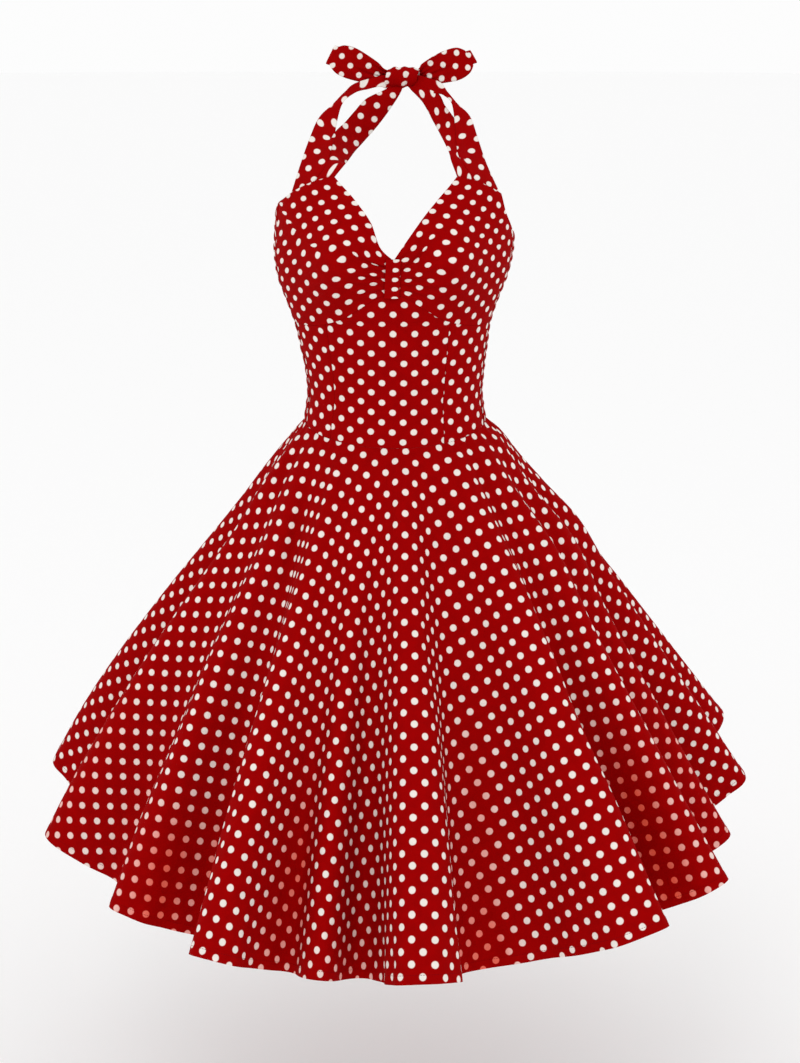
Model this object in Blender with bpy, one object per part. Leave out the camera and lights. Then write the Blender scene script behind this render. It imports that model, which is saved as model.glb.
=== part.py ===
"""Halter-neck swing dress with a full-circle skirt, hollow, in the shape it has when worn.

Metres, +Z up. The front faces -Y, and left and right are the viewer's, with right at +X.
The origin is the centre of the neck at the height of the bow's knot, where the wearer
holds the dress up. Every piece of cloth is one closed wall, and pieces that are sewn
together lie SEAM_GAP apart.
"""
import math

import bmesh
import bpy
from mathutils import Vector

# ---------------------------------------------------------------- driving dimensions

WALL = 0.0016             # cloth with its seam allowances
RIBBON_WALL = 0.0020      # halter bands and bow loops, cloth folded double
SEAM_GAP = 0.0003
SEAM_ALLOWANCE = 1.4      # widens an upright seam's gap, which leans across the figure
SKIRT_LENGTH = 0.647      # waist seam to hem, along the cloth
WAIST_SIDE_HEIGHT = -0.424
WAIST_FRONT_DIP = 0.021   # how far the waist seam drops at the centre front
THREAD_ARCH = 0.011       # how far the threads bow outwards between waist and hem
ARCH_SKEW = 0.9           # moves the bow up on the right side and down on the left side
HEM_SPAN = 0.487          # radius that the outermost folds reach, on average
FULL_TURN = 2 * math.pi

# General figure that the bodice is cut for: one row for each level, half sizes in metres.
TORSO_SECTIONS = (
    # height, centre_x, half_width, front_depth, back_depth
    (-0.455, -0.0010, 0.1185, 0.098, 0.096),
    (-0.426, -0.0013, 0.1170, 0.096, 0.094),
    (-0.394, -0.0013, 0.1125, 0.095, 0.092),
    (-0.362, -0.0015, 0.1148, 0.097, 0.093),
    (-0.331, -0.0028, 0.1195, 0.100, 0.095),
    (-0.300, -0.0043, 0.1250, 0.103, 0.097),
    (-0.269, -0.0048, 0.1355, 0.107, 0.099),
    (-0.238, -0.0042, 0.1460, 0.110, 0.100),
    (-0.208, -0.0026, 0.1503, 0.112, 0.100),
    (-0.150, 0.0000, 0.1485, 0.112, 0.094),
    (-0.100, 0.0000, 0.1460, 0.104, 0.085),
)
CUP_HEIGHT = -0.215       # level of the fullest point of each cup
CUP_SPREAD = 0.072        # its distance from the centre front
CUP_PROUD = 0.042         # how far it stands out of the plain section
CUP_REACH_X = 0.042
CUP_REACH_Z = 0.050

# Edges of the bodice pieces, by azimuth in degrees from the centre front.
UNDERBUST_EDGE = (
    # azimuth, height
    (0.0, -0.2500),
    (3.1, -0.2510),
    (6.2, -0.2535),
    (11.1, -0.2600),
    (18.0, -0.2700),
    (24.5, -0.2790),
    (30.0, -0.2845),
    (36.0, -0.2885),
    (43.0, -0.2925),
    (50.0, -0.2950),
    (57.0, -0.2965),
    (64.0, -0.2972),
    (71.0, -0.2978),
    (78.0, -0.2980),
)
NECKLINE_LEFT = (
    # azimuth, height
    (0.0, -0.2090),
    (6.5, -0.1920),
    (11.0, -0.1645),
    (19.5, -0.1370),
    (25.3, -0.1230),
    (30.5, -0.1110),
)
NECKLINE_RIGHT = (
    # azimuth, height
    (0.0, -0.2090),
    (7.0, -0.1800),
    (13.5, -0.1560),
    (20.0, -0.1370),
    (25.3, -0.1240),
    (30.5, -0.1110),
)
STRAP_INNER_AZIMUTH = 30.5
STRAP_SPLIT_AZIMUTH = 43.0
STRAP_OUTER_AZIMUTH = 60.5
SIDE_AZIMUTH = 78.0
SIDE_SEAM_SHARE = 0.42    # share of a cup's outer edge that runs up the side seam
STRAP_EDGE = ((30.5, -0.1110), (43.0, -0.1190), (60.5, -0.1350))
ARMHOLE_LEFT = ((60.5, -0.1350), (69.0, -0.1430), (78.0, -0.1490))
ARMHOLE_RIGHT = ((60.5, -0.1350), (66.0, -0.1590), (78.0, -0.1830))
BACK_EDGE = (
    # azimuth, height
    (78.0, -0.1830),
    (100.0, -0.1950),
    (130.0, -0.2170),
    (155.0, -0.2380),
    (180.0, -0.2450),
    (205.0, -0.2360),
    (230.0, -0.2080),
    (260.0, -0.1670),
    (282.0, -0.1490),
)
PRINCESS_SEAM_LEFT = ((-0.45, -44.0), (-0.36, -43.0), (-0.28, -40.0))    # height, azimuth
PRINCESS_SEAM_RIGHT = ((-0.45, 32.0), (-0.36, 30.5), (-0.28, 35.0))      # height, azimuth

GATHERS = 5               # soft ridges that run from the centre loop into each cup
GATHER_LIFT = 0.0022
SHIRR_ROWS = 11           # puffs between the elastic threads of the back
SHIRR_LIFT = 0.0028
LOOP_HALF_WIDTH = 0.0095
LOOP_TOP = -0.2070
LOOP_BOTTOM = -0.2540
LOOP_CROWN = 0.0022

# Folds of the skirt, as the hem lies in plan: one row for each crest and valley, round the
# hem from the left of the centre back. The roundness is the length of the hem's tangent,
# as a share of the distance to the next row.
HEM_FOLDS = (
    # azimuth, radius, kind, roundness
    (-159.0, 0.390, "slack", 1.15),
    (-150.0, 0.492, "crest", 1.20),
    (-141.0, 0.372, "slack", 1.15),
    (-131.0, 0.480, "crest", 1.20),
    (-118.0, 0.385, "slack", 1.10),
    (-100.5, 0.503, "crest", 1.20),
    (-88.5, 0.400, "valley", 1.10),
    (-75.5, 0.482, "crest", 1.15),
    (-64.5, 0.392, "valley", 1.10),
    (-51.5, 0.447, "crest", 1.15),
    (-40.5, 0.355, "valley", 1.10),
    (-28.0, 0.481, "crest", 1.10),
    (-20.0, 0.378, "valley", 1.00),
    (-12.5, 0.428, "crest", 1.00),
    (-6.5, 0.352, "valley", 1.00),
    (2.0, 0.458, "crest", 0.90),
    (8.0, 0.452, "crest", 0.90),
    (14.5, 0.340, "valley", 0.90),
    (28.0, 0.362, "valley", 0.90),
    (36.5, 0.470, "crest", 0.90),
    (42.0, 0.486, "crest", 1.00),
    (49.5, 0.382, "valley", 1.10),
    (58.5, 0.486, "crest", 1.15),
    (68.0, 0.390, "valley", 1.10),
    (78.0, 0.461, "crest", 1.15),
    (86.0, 0.390, "valley", 1.10),
    (94.0, 0.498, "crest", 1.15),
    (102.5, 0.395, "valley", 1.10),
    (111.0, 0.524, "crest", 1.20),
    (121.0, 0.385, "slack", 1.15),
    (130.0, 0.490, "crest", 1.20),
    (139.0, 0.375, "slack", 1.15),
    (148.0, 0.480, "crest", 1.20),
    (157.0, 0.385, "slack", 1.15),
    (167.0, 0.500, "crest", 1.20),
    (176.0, 0.375, "slack", 1.15),
    (185.0, 0.485, "crest", 1.20),
    (193.0, 0.390, "slack", 1.15),
)
HEM_POINTS_PER_ROW = 24
HEM_COLUMNS = (0, 5, 10, 14, 19)                # points of each row that get a column
SKIRT_LEVELS = (0.0, 0.13, 0.32, 0.55, 0.78, 1.0)   # shares of the skirt's length

# Halter ribbons: one row for each station from the cup up to the knot, each edge x, y, z.
BAND_LEFT = (
    # outer edge, inner edge
    ((-0.1160, -0.0450, -0.1010), (-0.0840, -0.0730, -0.1010)),
    ((-0.1062, -0.0240, -0.0733), (-0.0803, -0.0450, -0.0840)),
    ((-0.0945, 0.0060, -0.0466), (-0.0741, -0.0080, -0.0637)),
    ((-0.0783, 0.0220, -0.0323), (-0.0651, 0.0120, -0.0323)),
    ((-0.0651, 0.0400, -0.0191), (-0.0488, 0.0330, -0.0193)),
    ((-0.0510, 0.0530, -0.0080), (-0.0315, 0.0490, -0.0159)),
    ((-0.0140, 0.0605, 0.0010), (-0.0140, 0.0590, -0.0095)),
)
BAND_RIGHT = (
    ((0.1110, -0.0450, -0.1010), (0.0800, -0.0740, -0.0980)),
    ((0.0992, -0.0240, -0.0733), (0.0760, -0.0450, -0.0840)),
    ((0.0905, 0.0060, -0.0466), (0.0739, -0.0100, -0.0564)),
    ((0.0783, 0.0220, -0.0323), (0.0688, 0.0120, -0.0323)),
    ((0.0711, 0.0400, -0.0171), (0.0600, 0.0330, -0.0241)),
    ((0.0610, 0.0530, -0.0060), (0.0479, 0.0490, -0.0186)),
    ((0.0280, 0.0605, 0.0010), (0.0280, 0.0590, -0.0095)),
)
TIE_LEFT = (
    ((-0.0840, -0.0730, -0.1010), (-0.0610, -0.0820, -0.0990)),
    ((-0.0803, -0.0450, -0.0840), (-0.0622, -0.0450, -0.1019)),
    ((-0.0741, -0.0080, -0.0637), (-0.0524, 0.0050, -0.0924)),
    ((-0.0641, 0.0140, -0.0541), (-0.0403, 0.0300, -0.0806)),
    ((-0.0526, 0.0310, -0.0416), (-0.0202, 0.0470, -0.0589)),
    ((-0.0378, 0.0450, -0.0270), (-0.0025, 0.0540, -0.0353)),
    ((-0.0125, 0.0575, -0.0160), (0.0080, 0.0575, -0.0162)),
)
TIE_RIGHT = (
    ((0.0800, -0.0740, -0.0980), (0.0670, -0.0810, -0.0960)),
    ((0.0760, -0.0450, -0.0840), (0.0630, -0.0620, -0.0830)),
    ((0.0739, -0.0100, -0.0564), (0.0503, 0.0080, -0.0598)),
    ((0.0696, 0.0130, -0.0444), (0.0426, 0.0300, -0.0476)),
    ((0.0626, 0.0300, -0.0355), (0.0340, 0.0430, -0.0336)),
    ((0.0547, 0.0450, -0.0264), (0.0265, 0.0510, -0.0242)),
    ((0.0275, 0.0575, -0.0162), (0.0180, 0.0575, -0.0160)),
)
RIBBON_LENGTH_STEPS = 14
RIBBON_WIDTH_STEPS = 3
RIBBON_SIDE_GAP = 0.0011  # from each side edge of a ribbon to its neighbour

# Bow: one row for each station from the knot out to the fold at the tip, in x and z.
BOW_LEFT = (
    # top_x, top_z, bottom_x, bottom_z, half_depth
    (-0.0140, 0.0080, -0.0140, -0.0105, 0.0032),
    (-0.0240, 0.0170, -0.0300, -0.0100, 0.0080),
    (-0.0480, 0.0320, -0.0560, -0.0050, 0.0115),
    (-0.0630, 0.0370, -0.0740, 0.0015, 0.0095),
    (-0.0705, 0.0370, -0.0845, 0.0105, 0.0050),
)
BOW_RIGHT = (
    (0.0281, 0.0080, 0.0281, -0.0120, 0.0032),
    (0.0340, 0.0150, 0.0480, -0.0105, 0.0080),
    (0.0540, 0.0270, 0.0770, -0.0060, 0.0115),
    (0.0740, 0.0350, 0.0925, 0.0005, 0.0095),
    (0.0850, 0.0350, 0.1010, 0.0085, 0.0050),
)
BOW_DEPTH = 0.0690        # y of the middle of the bow
BOW_LAYER_STEPS = 7
BOW_TURN_STEPS = 4

KNOT_CENTRE = (0.0070, 0.0655, -0.0020)
KNOT_HALF_SIZE = (0.0200, 0.0135, 0.0125)
KNOT_ROUNDING = 0.0060

RED = (0.36, 0.003, 0.006, 1.0)
ROUGHNESS = 0.75


# ---------------------------------------------------------------- tables and curves

def blend_cubic(start, end, start_slope, end_slope, share):
    """Cubic between two values with the given slopes, share from 0 to 1."""
    s2 = share * share
    s3 = s2 * share
    return (start * (2 * s3 - 3 * s2 + 1) + start_slope * (s3 - 2 * s2 + share)
            + end * (3 * s2 - 2 * s3) + end_slope * (s3 - s2))


def table_row(rows, key):
    """Values of a table at a key, on smooth curves through its rows."""
    key = min(max(key, rows[0][0]), rows[-1][0])
    last = len(rows) - 2
    index = 0
    while index < last and rows[index + 1][0] < key:
        index += 1
    low, high = rows[index], rows[index + 1]
    before, after = rows[max(index - 1, 0)], rows[min(index + 2, last + 1)]
    step = high[0] - low[0]
    values = []
    for column in range(1, len(low)):
        low_slope = (high[column] - before[column]) / (high[0] - before[0]) * step
        high_slope = (after[column] - low[column]) / (after[0] - low[0]) * step
        values.append(blend_cubic(low[column], high[column], low_slope, high_slope,
                                  (key - low[0]) / step))
    return values


def table_value(rows, key):
    return table_row(rows, key)[0]


def smooth_path(points, share):
    """Point at a share of the way along a smooth curve through evenly counted points."""
    place = min(max(share, 0.0), 1.0) * (len(points) - 1)
    index = min(int(place), len(points) - 2)
    low, high = points[index], points[index + 1]
    before = points[index - 1] if index > 0 else low * 2 - high
    after = points[index + 2] if index + 2 < len(points) else high * 2 - low
    return blend_cubic(low, high, (high - before) / 2, (after - low) / 2, place - index)


# ---------------------------------------------------------------- figure under the bodice

def torso_point(azimuth, height):
    """Point on the outside of the bodice, azimuth in radians from the centre front."""
    centre_x, half_width, front_depth, back_depth = table_row(TORSO_SECTIONS, height)
    sideways = half_width * math.sin(azimuth)
    forward = math.cos(azimuth)
    if forward < 0:
        return Vector((centre_x + sideways, -back_depth * forward, height))
    across = (abs(sideways) - CUP_SPREAD) / CUP_REACH_X
    upward = (height - CUP_HEIGHT) / CUP_REACH_Z
    cup = CUP_PROUD * math.exp(-across ** 2 - upward ** 2) * min(1.0, 3 * forward)
    return Vector((centre_x + sideways, -front_depth * forward - cup, height))


def torso_normal(azimuth, height):
    step = 0.002
    around = torso_point(azimuth + step, height) - torso_point(azimuth - step, height)
    upward = torso_point(azimuth, height + step) - torso_point(azimuth, height - step)
    return around.cross(upward).normalized()


def waist_height(azimuth):
    return WAIST_SIDE_HEIGHT - WAIST_FRONT_DIP * ((1 + math.cos(azimuth)) / 2) ** 2


def underbust_height(degrees):
    """Height of the underbust seam, straight between the rows of its table."""
    degrees = abs(degrees)
    for low, high in zip(UNDERBUST_EDGE, UNDERBUST_EDGE[1:]):
        if degrees <= high[0]:
            break
    share = (degrees - low[0]) / (high[0] - low[0])
    return low[1] + (high[1] - low[1]) * share


# ---------------------------------------------------------------- skirt

class Skirt:
    """Full-circle skirt: straight threads from the waist seam to the folded hem.

    A place on the cloth is a flat angle, in radians from the centre front of the flat
    circle, and a distance down the cloth from the waist seam.
    """

    def __init__(self):
        self.measure_waist()
        shallow, deep = 0.3, 1.6
        for _ in range(24):
            depth = (shallow + deep) / 2
            self.lay_hem(depth)
            if self.hem_length < FULL_TURN * (self.waist_radius + SKIRT_LENGTH):
                shallow = depth
            else:
                deep = depth

    def measure_waist(self):
        count = 360
        angles = [FULL_TURN * (k / count - 0.5) for k in range(count + 1)]
        self.waist = [torso_point(angle, waist_height(angle)) for angle in angles]
        self.waist_lengths = [0.0]
        for start, end in zip(self.waist, self.waist[1:]):
            self.waist_lengths.append(self.waist_lengths[-1] + (end - start).length)
        self.waist_radius = self.waist_lengths[-1] / FULL_TURN

    def waist_point(self, flat):
        """Point of the waist seam at a flat angle, evenly spaced along the seam."""
        target = ((flat / FULL_TURN + 0.5) % 1.0) * self.waist_lengths[-1]
        low, high = 0, len(self.waist) - 1
        while high - low > 1:
            middle = (low + high) // 2
            if self.waist_lengths[middle] <= target:
                low = middle
            else:
                high = middle
        step = self.waist_lengths[high] - self.waist_lengths[low]
        return self.waist[low].lerp(self.waist[high], (target - self.waist_lengths[low]) / step)

    def plan_of_hem(self, depth):
        """Closed plan curve of the hem, its slack valleys a share as deep as their rows say."""
        corners = []
        for azimuth, radius, kind, _ in HEM_FOLDS:
            if kind == "slack":
                radius = HEM_SPAN + (radius - HEM_SPAN) * depth
            turn = math.radians(azimuth)
            corners.append(Vector((radius * math.sin(turn), -radius * math.cos(turn))))
        count = len(corners)
        directions = []
        for k, corner in enumerate(corners):
            chord = (corners[(k + 1) % count] - corners[k - 1]).normalized()
            around = Vector((-corner.y, corner.x)).normalized()
            directions.append((chord + around).normalized())
        plan = []
        for k in range(count):
            start, end = corners[k], corners[(k + 1) % count]
            reach = (end - start).length
            start_slope = directions[k] * reach * HEM_FOLDS[k][3]
            end_slope = directions[(k + 1) % count] * reach * HEM_FOLDS[(k + 1) % count][3]
            for j in range(HEM_POINTS_PER_ROW):
                plan.append(blend_cubic(start, end, start_slope, end_slope,
                                        j / HEM_POINTS_PER_ROW))
        return plan

    def lay_hem(self, depth):
        """Flat angle of each hem point by its length, and its height by the threads'.

        The heights change the lengths a little, so the pair is worked out a few times.
        """
        plan = self.plan_of_hem(depth)
        count = len(plan)
        heights = [WAIST_SIDE_HEIGHT - SKIRT_LENGTH * 0.85] * count
        for _ in range(4):
            hem = [Vector((p.x, p.y, h)) for p, h in zip(plan, heights)]
            lengths = [0.0]
            for k in range(count):
                lengths.append(lengths[-1] + (hem[(k + 1) % count] - hem[k]).length)
            self.hem_length = lengths[-1]
            azimuths = [math.atan2(p.x, -p.y) for p in plan]
            for k in range(1, count):
                while azimuths[k] < azimuths[k - 1] - math.pi:
                    azimuths[k] += FULL_TURN
            flats = [FULL_TURN * s / self.hem_length for s in lengths[:-1]]
            centre = min(range(count), key=lambda k: abs(azimuths[k]))
            self.flats = [f + azimuths[centre] - flats[centre] for f in flats]
            waist = [self.waist_point(f) for f in self.flats]
            heights = []
            for p, w in zip(plan, waist):
                across = math.hypot(p.x - w.x, p.y - w.y)
                heights.append(w.z - math.sqrt(SKIRT_LENGTH ** 2 - across ** 2))
        self.hem = [Vector((p.x, p.y, h)) for p, h in zip(plan, heights)]

    def hem_point(self, flat):
        start = self.flats[0]
        flat = (flat - start) % FULL_TURN + start
        low, high = 0, len(self.flats)
        while high - low > 1:
            middle = (low + high) // 2
            if self.flats[middle] <= flat:
                low = middle
            else:
                high = middle
        after = self.flats[low + 1] if low + 1 < len(self.flats) else start + FULL_TURN
        share = (flat - self.flats[low]) / (after - self.flats[low])
        return self.hem[low].lerp(self.hem[(low + 1) % len(self.hem)], share)

    def point(self, flat, down):
        waist, hem = self.waist_point(flat), self.hem_point(flat)
        share = down / SKIRT_LENGTH
        across = Vector((hem.x - waist.x, hem.y - waist.y, 0.0))
        lift = across.normalized() * (waist.z - hem.z) + Vector((0.0, 0.0, across.length))
        skew = 1 + ARCH_SKEW * (1 - 2 * share) * across.normalized().x
        arch = 4 * THREAD_ARCH * share * (1 - share) * skew
        return waist.lerp(hem, share) + lift.normalized() * arch

    def normal(self, flat, down):
        step = math.radians(0.5)
        around = self.point(flat + step, down) - self.point(flat - step, down)
        thread = self.waist_point(flat) - self.hem_point(flat)
        return around.cross(thread).normalized()

    def column_angles(self, first, last):
        """Flat angles of the columns between two seams, both seams included."""
        clearance = math.radians(0.7)
        angles = [first]
        for turn in (-FULL_TURN, 0.0, FULL_TURN):
            for k, flat in enumerate(self.flats):
                inside = first + clearance < flat + turn < last - clearance
                if inside and k % HEM_POINTS_PER_ROW in HEM_COLUMNS:
                    angles.append(flat + turn)
        angles.append(last)
        return sorted(angles)


# ---------------------------------------------------------------- solids

def cloth_material(name):
    material = bpy.data.materials.new(name)
    material.use_nodes = True
    shader = material.node_tree.nodes["Principled BSDF"]
    shader.inputs["Base Color"].default_value = RED
    shader.inputs["Roughness"].default_value = ROUGHNESS
    shader.inputs["Metallic"].default_value = 0.0
    return material


def add_piece(name, mesh_data, material, parent):
    """Object from a bmesh, its faces turned outwards and cut into triangles."""
    bmesh.ops.recalc_face_normals(mesh_data, faces=mesh_data.faces)
    bmesh.ops.triangulate(mesh_data, faces=mesh_data.faces)
    mesh = bpy.data.meshes.new(name)
    mesh_data.to_mesh(mesh)
    mesh_data.free()
    mesh.materials.append(material)
    mesh.shade_smooth()
    piece = bpy.data.objects.new(name, mesh)
    bpy.context.scene.collection.objects.link(piece)
    piece.parent = parent
    return piece


def wall_mesh(outer, inner):
    """Closed wall between two grids of points of the same size."""
    mesh_data = bmesh.new()
    outer_verts = [[mesh_data.verts.new(point) for point in row] for row in outer]
    inner_verts = [[mesh_data.verts.new(point) for point in row] for row in inner]
    rows, columns = len(outer), len(outer[0])
    for i in range(rows - 1):
        for j in range(columns - 1):
            for grid in (outer_verts, inner_verts):
                mesh_data.faces.new((grid[i][j], grid[i][j + 1],
                                     grid[i + 1][j + 1], grid[i + 1][j]))
    for i in range(rows - 1):
        for j in (0, columns - 1):
            mesh_data.faces.new((outer_verts[i][j], outer_verts[i + 1][j],
                                 inner_verts[i + 1][j], inner_verts[i][j]))
    for j in range(columns - 1):
        for i in (0, rows - 1):
            mesh_data.faces.new((outer_verts[i][j], outer_verts[i][j + 1],
                                 inner_verts[i][j + 1], inner_verts[i][j]))
    return mesh_data


def skirt_half(name, skirt, first, last, material, parent):
    """Half of the skirt between two seams, its side edges half a seam gap inside them."""
    angles = skirt.column_angles(first, last)
    outer, inner = [], []
    for level in SKIRT_LEVELS:
        down = SEAM_GAP / 2 + level * (SKIRT_LENGTH - SEAM_GAP / 2)
        inset = SEAM_GAP / 2 / (skirt.waist_radius + down)
        row = [first + inset] + angles[1:-1] + [last - inset]
        points = [skirt.point(flat, down) for flat in row]
        normals = [skirt.normal(flat, down) for flat in row]
        outer.append(points)
        inner.append([p - n * WALL for p, n in zip(points, normals)])
    return add_piece(name, wall_mesh(outer, inner), material, parent)


def torso_wall(name, places, material, parent):
    """Wall on the figure. places is a grid of (azimuth, height, lift of the outside)."""
    outer, inner = [], []
    for row in places:
        points = [torso_point(azimuth, height) for azimuth, height, _ in row]
        normals = [torso_normal(azimuth, height) for azimuth, height, _ in row]
        outer.append([p + n * place[2] for p, n, place in zip(points, normals, row)])
        inner.append([p - n * WALL for p, n in zip(points, normals)])
    return add_piece(name, wall_mesh(outer, inner), material, parent)


def seam_turn(height):
    """Azimuth from an upright seam to the edge of a panel, in degrees."""
    half_width = table_row(TORSO_SECTIONS, height)[1]
    return math.degrees(SEAM_ALLOWANCE * SEAM_GAP / 2 / half_width)


def midriff_panel(name, left_edge, right_edge, material, parent):
    """Panel from the waist seam up to the underbust seam, between two upright seams.

    The edges give a seam's azimuth in degrees at a height. The top of the panel has a
    column at each row of the underbust table, as the cups' lower edges have.
    """
    inset = seam_turn(WAIST_SIDE_HEIGHT)
    low_left, low_right = left_edge(-0.44) + inset, right_edge(-0.44) - inset
    top_left, top_right = left_edge(-0.29) + inset, right_edge(-0.29) - inset
    breaks = sorted({sign * row[0] for row in UNDERBUST_EDGE for sign in (-1, 1)})
    tops = [top_left] + [x for x in breaks if top_left + 1 < x < top_right - 1] + [top_right]
    rows = 6
    places = []
    for i in range(rows + 1):
        row = []
        for top_degrees in tops:
            across = (top_degrees - top_left) / (top_right - top_left)
            low_degrees = low_left + (low_right - low_left) * across
            top = underbust_height(top_degrees) - SEAM_GAP / 2
            azimuth = math.radians(low_degrees + (top_degrees - low_degrees) * i / rows)
            bottom = waist_height(math.radians(low_degrees)) + SEAM_GAP / 2
            row.append((azimuth, bottom + (top - bottom) * i / rows, 0.0))
        places.append(row)
    return torso_wall(name, places, material, parent)


def cup_outer_edge(armhole, share):
    """Place on a cup's outer edge, up the side seam, along the armhole and strap base."""
    if share < SIDE_SEAM_SHARE:
        low, high = underbust_height(SIDE_AZIMUTH), armhole[-1][1]
        return SIDE_AZIMUTH, low + (high - low) * share / SIDE_SEAM_SHARE
    top_share = (share - SIDE_SEAM_SHARE) / (1 - SIDE_SEAM_SHARE)
    azimuth = SIDE_AZIMUTH + (STRAP_INNER_AZIMUTH - SIDE_AZIMUTH) * top_share
    if azimuth > STRAP_OUTER_AZIMUTH:
        return azimuth, table_value(armhole, azimuth)
    return azimuth, table_value(STRAP_EDGE, azimuth)


def cup_place(neckline, armhole, along, up):
    """Azimuth in degrees and height of a place on a cup.

    along runs from the centre front to the outer edge, and up from the underbust edge to
    the neckline.
    """
    bottom_azimuth = SIDE_AZIMUTH * along
    top_azimuth = STRAP_INNER_AZIMUTH * along
    bottom = Vector((bottom_azimuth, underbust_height(bottom_azimuth)))
    top = Vector((top_azimuth, table_value(neckline, top_azimuth)))
    side = Vector(cup_outer_edge(armhole, up))
    low, high = Vector((0.0, UNDERBUST_EDGE[0][1])), Vector((0.0, neckline[0][1]))
    far_low = Vector(cup_outer_edge(armhole, 0.0))
    far_high = Vector(cup_outer_edge(armhole, 1.0))
    ruled_up = bottom.lerp(top, up)
    ruled_along = low.lerp(high, up).lerp(side, along)
    corners = low.lerp(high, up).lerp(far_low.lerp(far_high, up), along)
    return ruled_up + ruled_along - corners


def gather_lift(along, up):
    """Height of the gathers that run out of the centre loop, dying away over the cup."""
    rise = min(1.0, max(0.0, (along - 0.05) / 0.10))
    fade = max(0.0, 1.0 - along / 0.75) ** 1.5
    ends = math.sin(math.pi * up) ** 0.5
    return GATHER_LIFT * rise * fade * ends * (1 - math.cos(FULL_TURN * GATHERS * up)) / 2


def cup(name, side, neckline, armhole, material, parent):
    """Bust cup on one side, side -1 or +1, gathered to the centre front."""
    rows = 20
    breaks = [row[0] / SIDE_AZIMUTH for row in UNDERBUST_EDGE]
    places = []
    for i in range(rows + 1):
        up = i / rows
        row = []
        for along in breaks:
            azimuth, height = cup_place(neckline, armhole, along, up)
            inset = seam_turn(height)
            azimuth = min(max(azimuth, inset), SIDE_AZIMUTH - inset)
            height += SEAM_GAP * (0.5 - up)
            row.append((side * math.radians(azimuth), height, gather_lift(along, up)))
        places.append(row)
    return torso_wall(name, places, material, parent)


def back_bodice(material, parent):
    """Shirred back from side seam to side seam, with a puff between two elastic threads."""
    columns = 24
    side = math.radians(SIDE_AZIMUTH + seam_turn(WAIST_SIDE_HEIGHT))
    places = []
    for i in range(2 * SHIRR_ROWS + 1):
        row = []
        for j in range(columns + 1):
            azimuth = side + (FULL_TURN - 2 * side) * j / columns
            bottom = waist_height(azimuth) + SEAM_GAP / 2
            top = table_value(BACK_EDGE, math.degrees(azimuth))
            height = bottom + (top - bottom) * i / (2 * SHIRR_ROWS)
            row.append((azimuth, height, SHIRR_LIFT * (i % 2)))
        places.append(row)
    return torso_wall("back_bodice", places, material, parent)


def centre_loop(material, parent):
    """Loop of cloth over the gathered meeting of the cups."""
    rows, columns = 8, 4
    clear = 2 * SEAM_GAP
    outer, inner = [], []
    for i in range(rows + 1):
        height = LOOP_BOTTOM + (LOOP_TOP - LOOP_BOTTOM) * i / rows
        outer_row, inner_row = [], []
        for j in range(columns + 1):
            across = 2 * j / columns - 1
            half_width = table_row(TORSO_SECTIONS, height)[1]
            azimuth = math.asin(across * LOOP_HALF_WIDTH / half_width)
            point, normal = torso_point(azimuth, height), torso_normal(azimuth, height)
            crown = LOOP_CROWN * (1 - across ** 2)
            inner_row.append(point + normal * clear)
            outer_row.append(point + normal * (clear + WALL + crown))
        outer.append(outer_row)
        inner.append(inner_row)
    return add_piece("centre_loop", wall_mesh(outer, inner), material, parent)


def ribbon_mesh(rows):
    """Closed flat ribbon round a grid of points, one row for each step of its length."""
    outer, inner = [], []
    last_row, last_column = len(rows) - 1, len(rows[0]) - 1
    for i, row in enumerate(rows):
        outer_row, inner_row = [], []
        for j, point in enumerate(row):
            along = rows[min(i + 1, last_row)][j] - rows[max(i - 1, 0)][j]
            across = row[min(j + 1, last_column)] - row[max(j - 1, 0)]
            normal = along.cross(across).normalized() * RIBBON_WALL / 2
            outer_row.append(point + normal)
            inner_row.append(point - normal)
        outer.append(outer_row)
        inner.append(inner_row)
    return wall_mesh(outer, inner)


def strap_base(side, outer_azimuth, inner_azimuth, share):
    """Point of a cup's strap edge, a seam gap above the cup."""
    azimuth = outer_azimuth + (inner_azimuth - outer_azimuth) * share
    height = table_value(STRAP_EDGE, azimuth)
    middle = torso_point(side * math.radians(azimuth), height)
    normal = torso_normal(side * math.radians(azimuth), height)
    return middle - normal * WALL / 2 + Vector((0.0, 0.0, 2 * SEAM_GAP))


def halter_ribbon(name, side, stations, outer_azimuth, inner_azimuth, material, parent):
    """Halter ribbon from the strap edge of a cup up to the knot."""
    base_outer = strap_base(side, outer_azimuth, inner_azimuth, 0.0)
    base_inner = strap_base(side, outer_azimuth, inner_azimuth, 1.0)
    outer_edge = [base_outer] + [Vector(station[0]) for station in stations]
    inner_edge = [base_inner] + [Vector(station[1]) for station in stations]
    rows = []
    for i in range(RIBBON_LENGTH_STEPS + 1):
        share = i / RIBBON_LENGTH_STEPS
        outer, inner = smooth_path(outer_edge, share), smooth_path(inner_edge, share)
        margin = RIBBON_SIDE_GAP / (inner - outer).length
        row = []
        for j in range(RIBBON_WIDTH_STEPS + 1):
            across = margin + (1 - 2 * margin) * j / RIBBON_WIDTH_STEPS
            curve = strap_base(side, outer_azimuth, inner_azimuth, across)
            sag = curve - base_outer.lerp(base_inner, across)
            row.append(outer.lerp(inner, across) + sag * max(0.0, 1 - 3 * share) ** 2)
        rows.append(row)
    return add_piece(name, ribbon_mesh(rows), material, parent)


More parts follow.
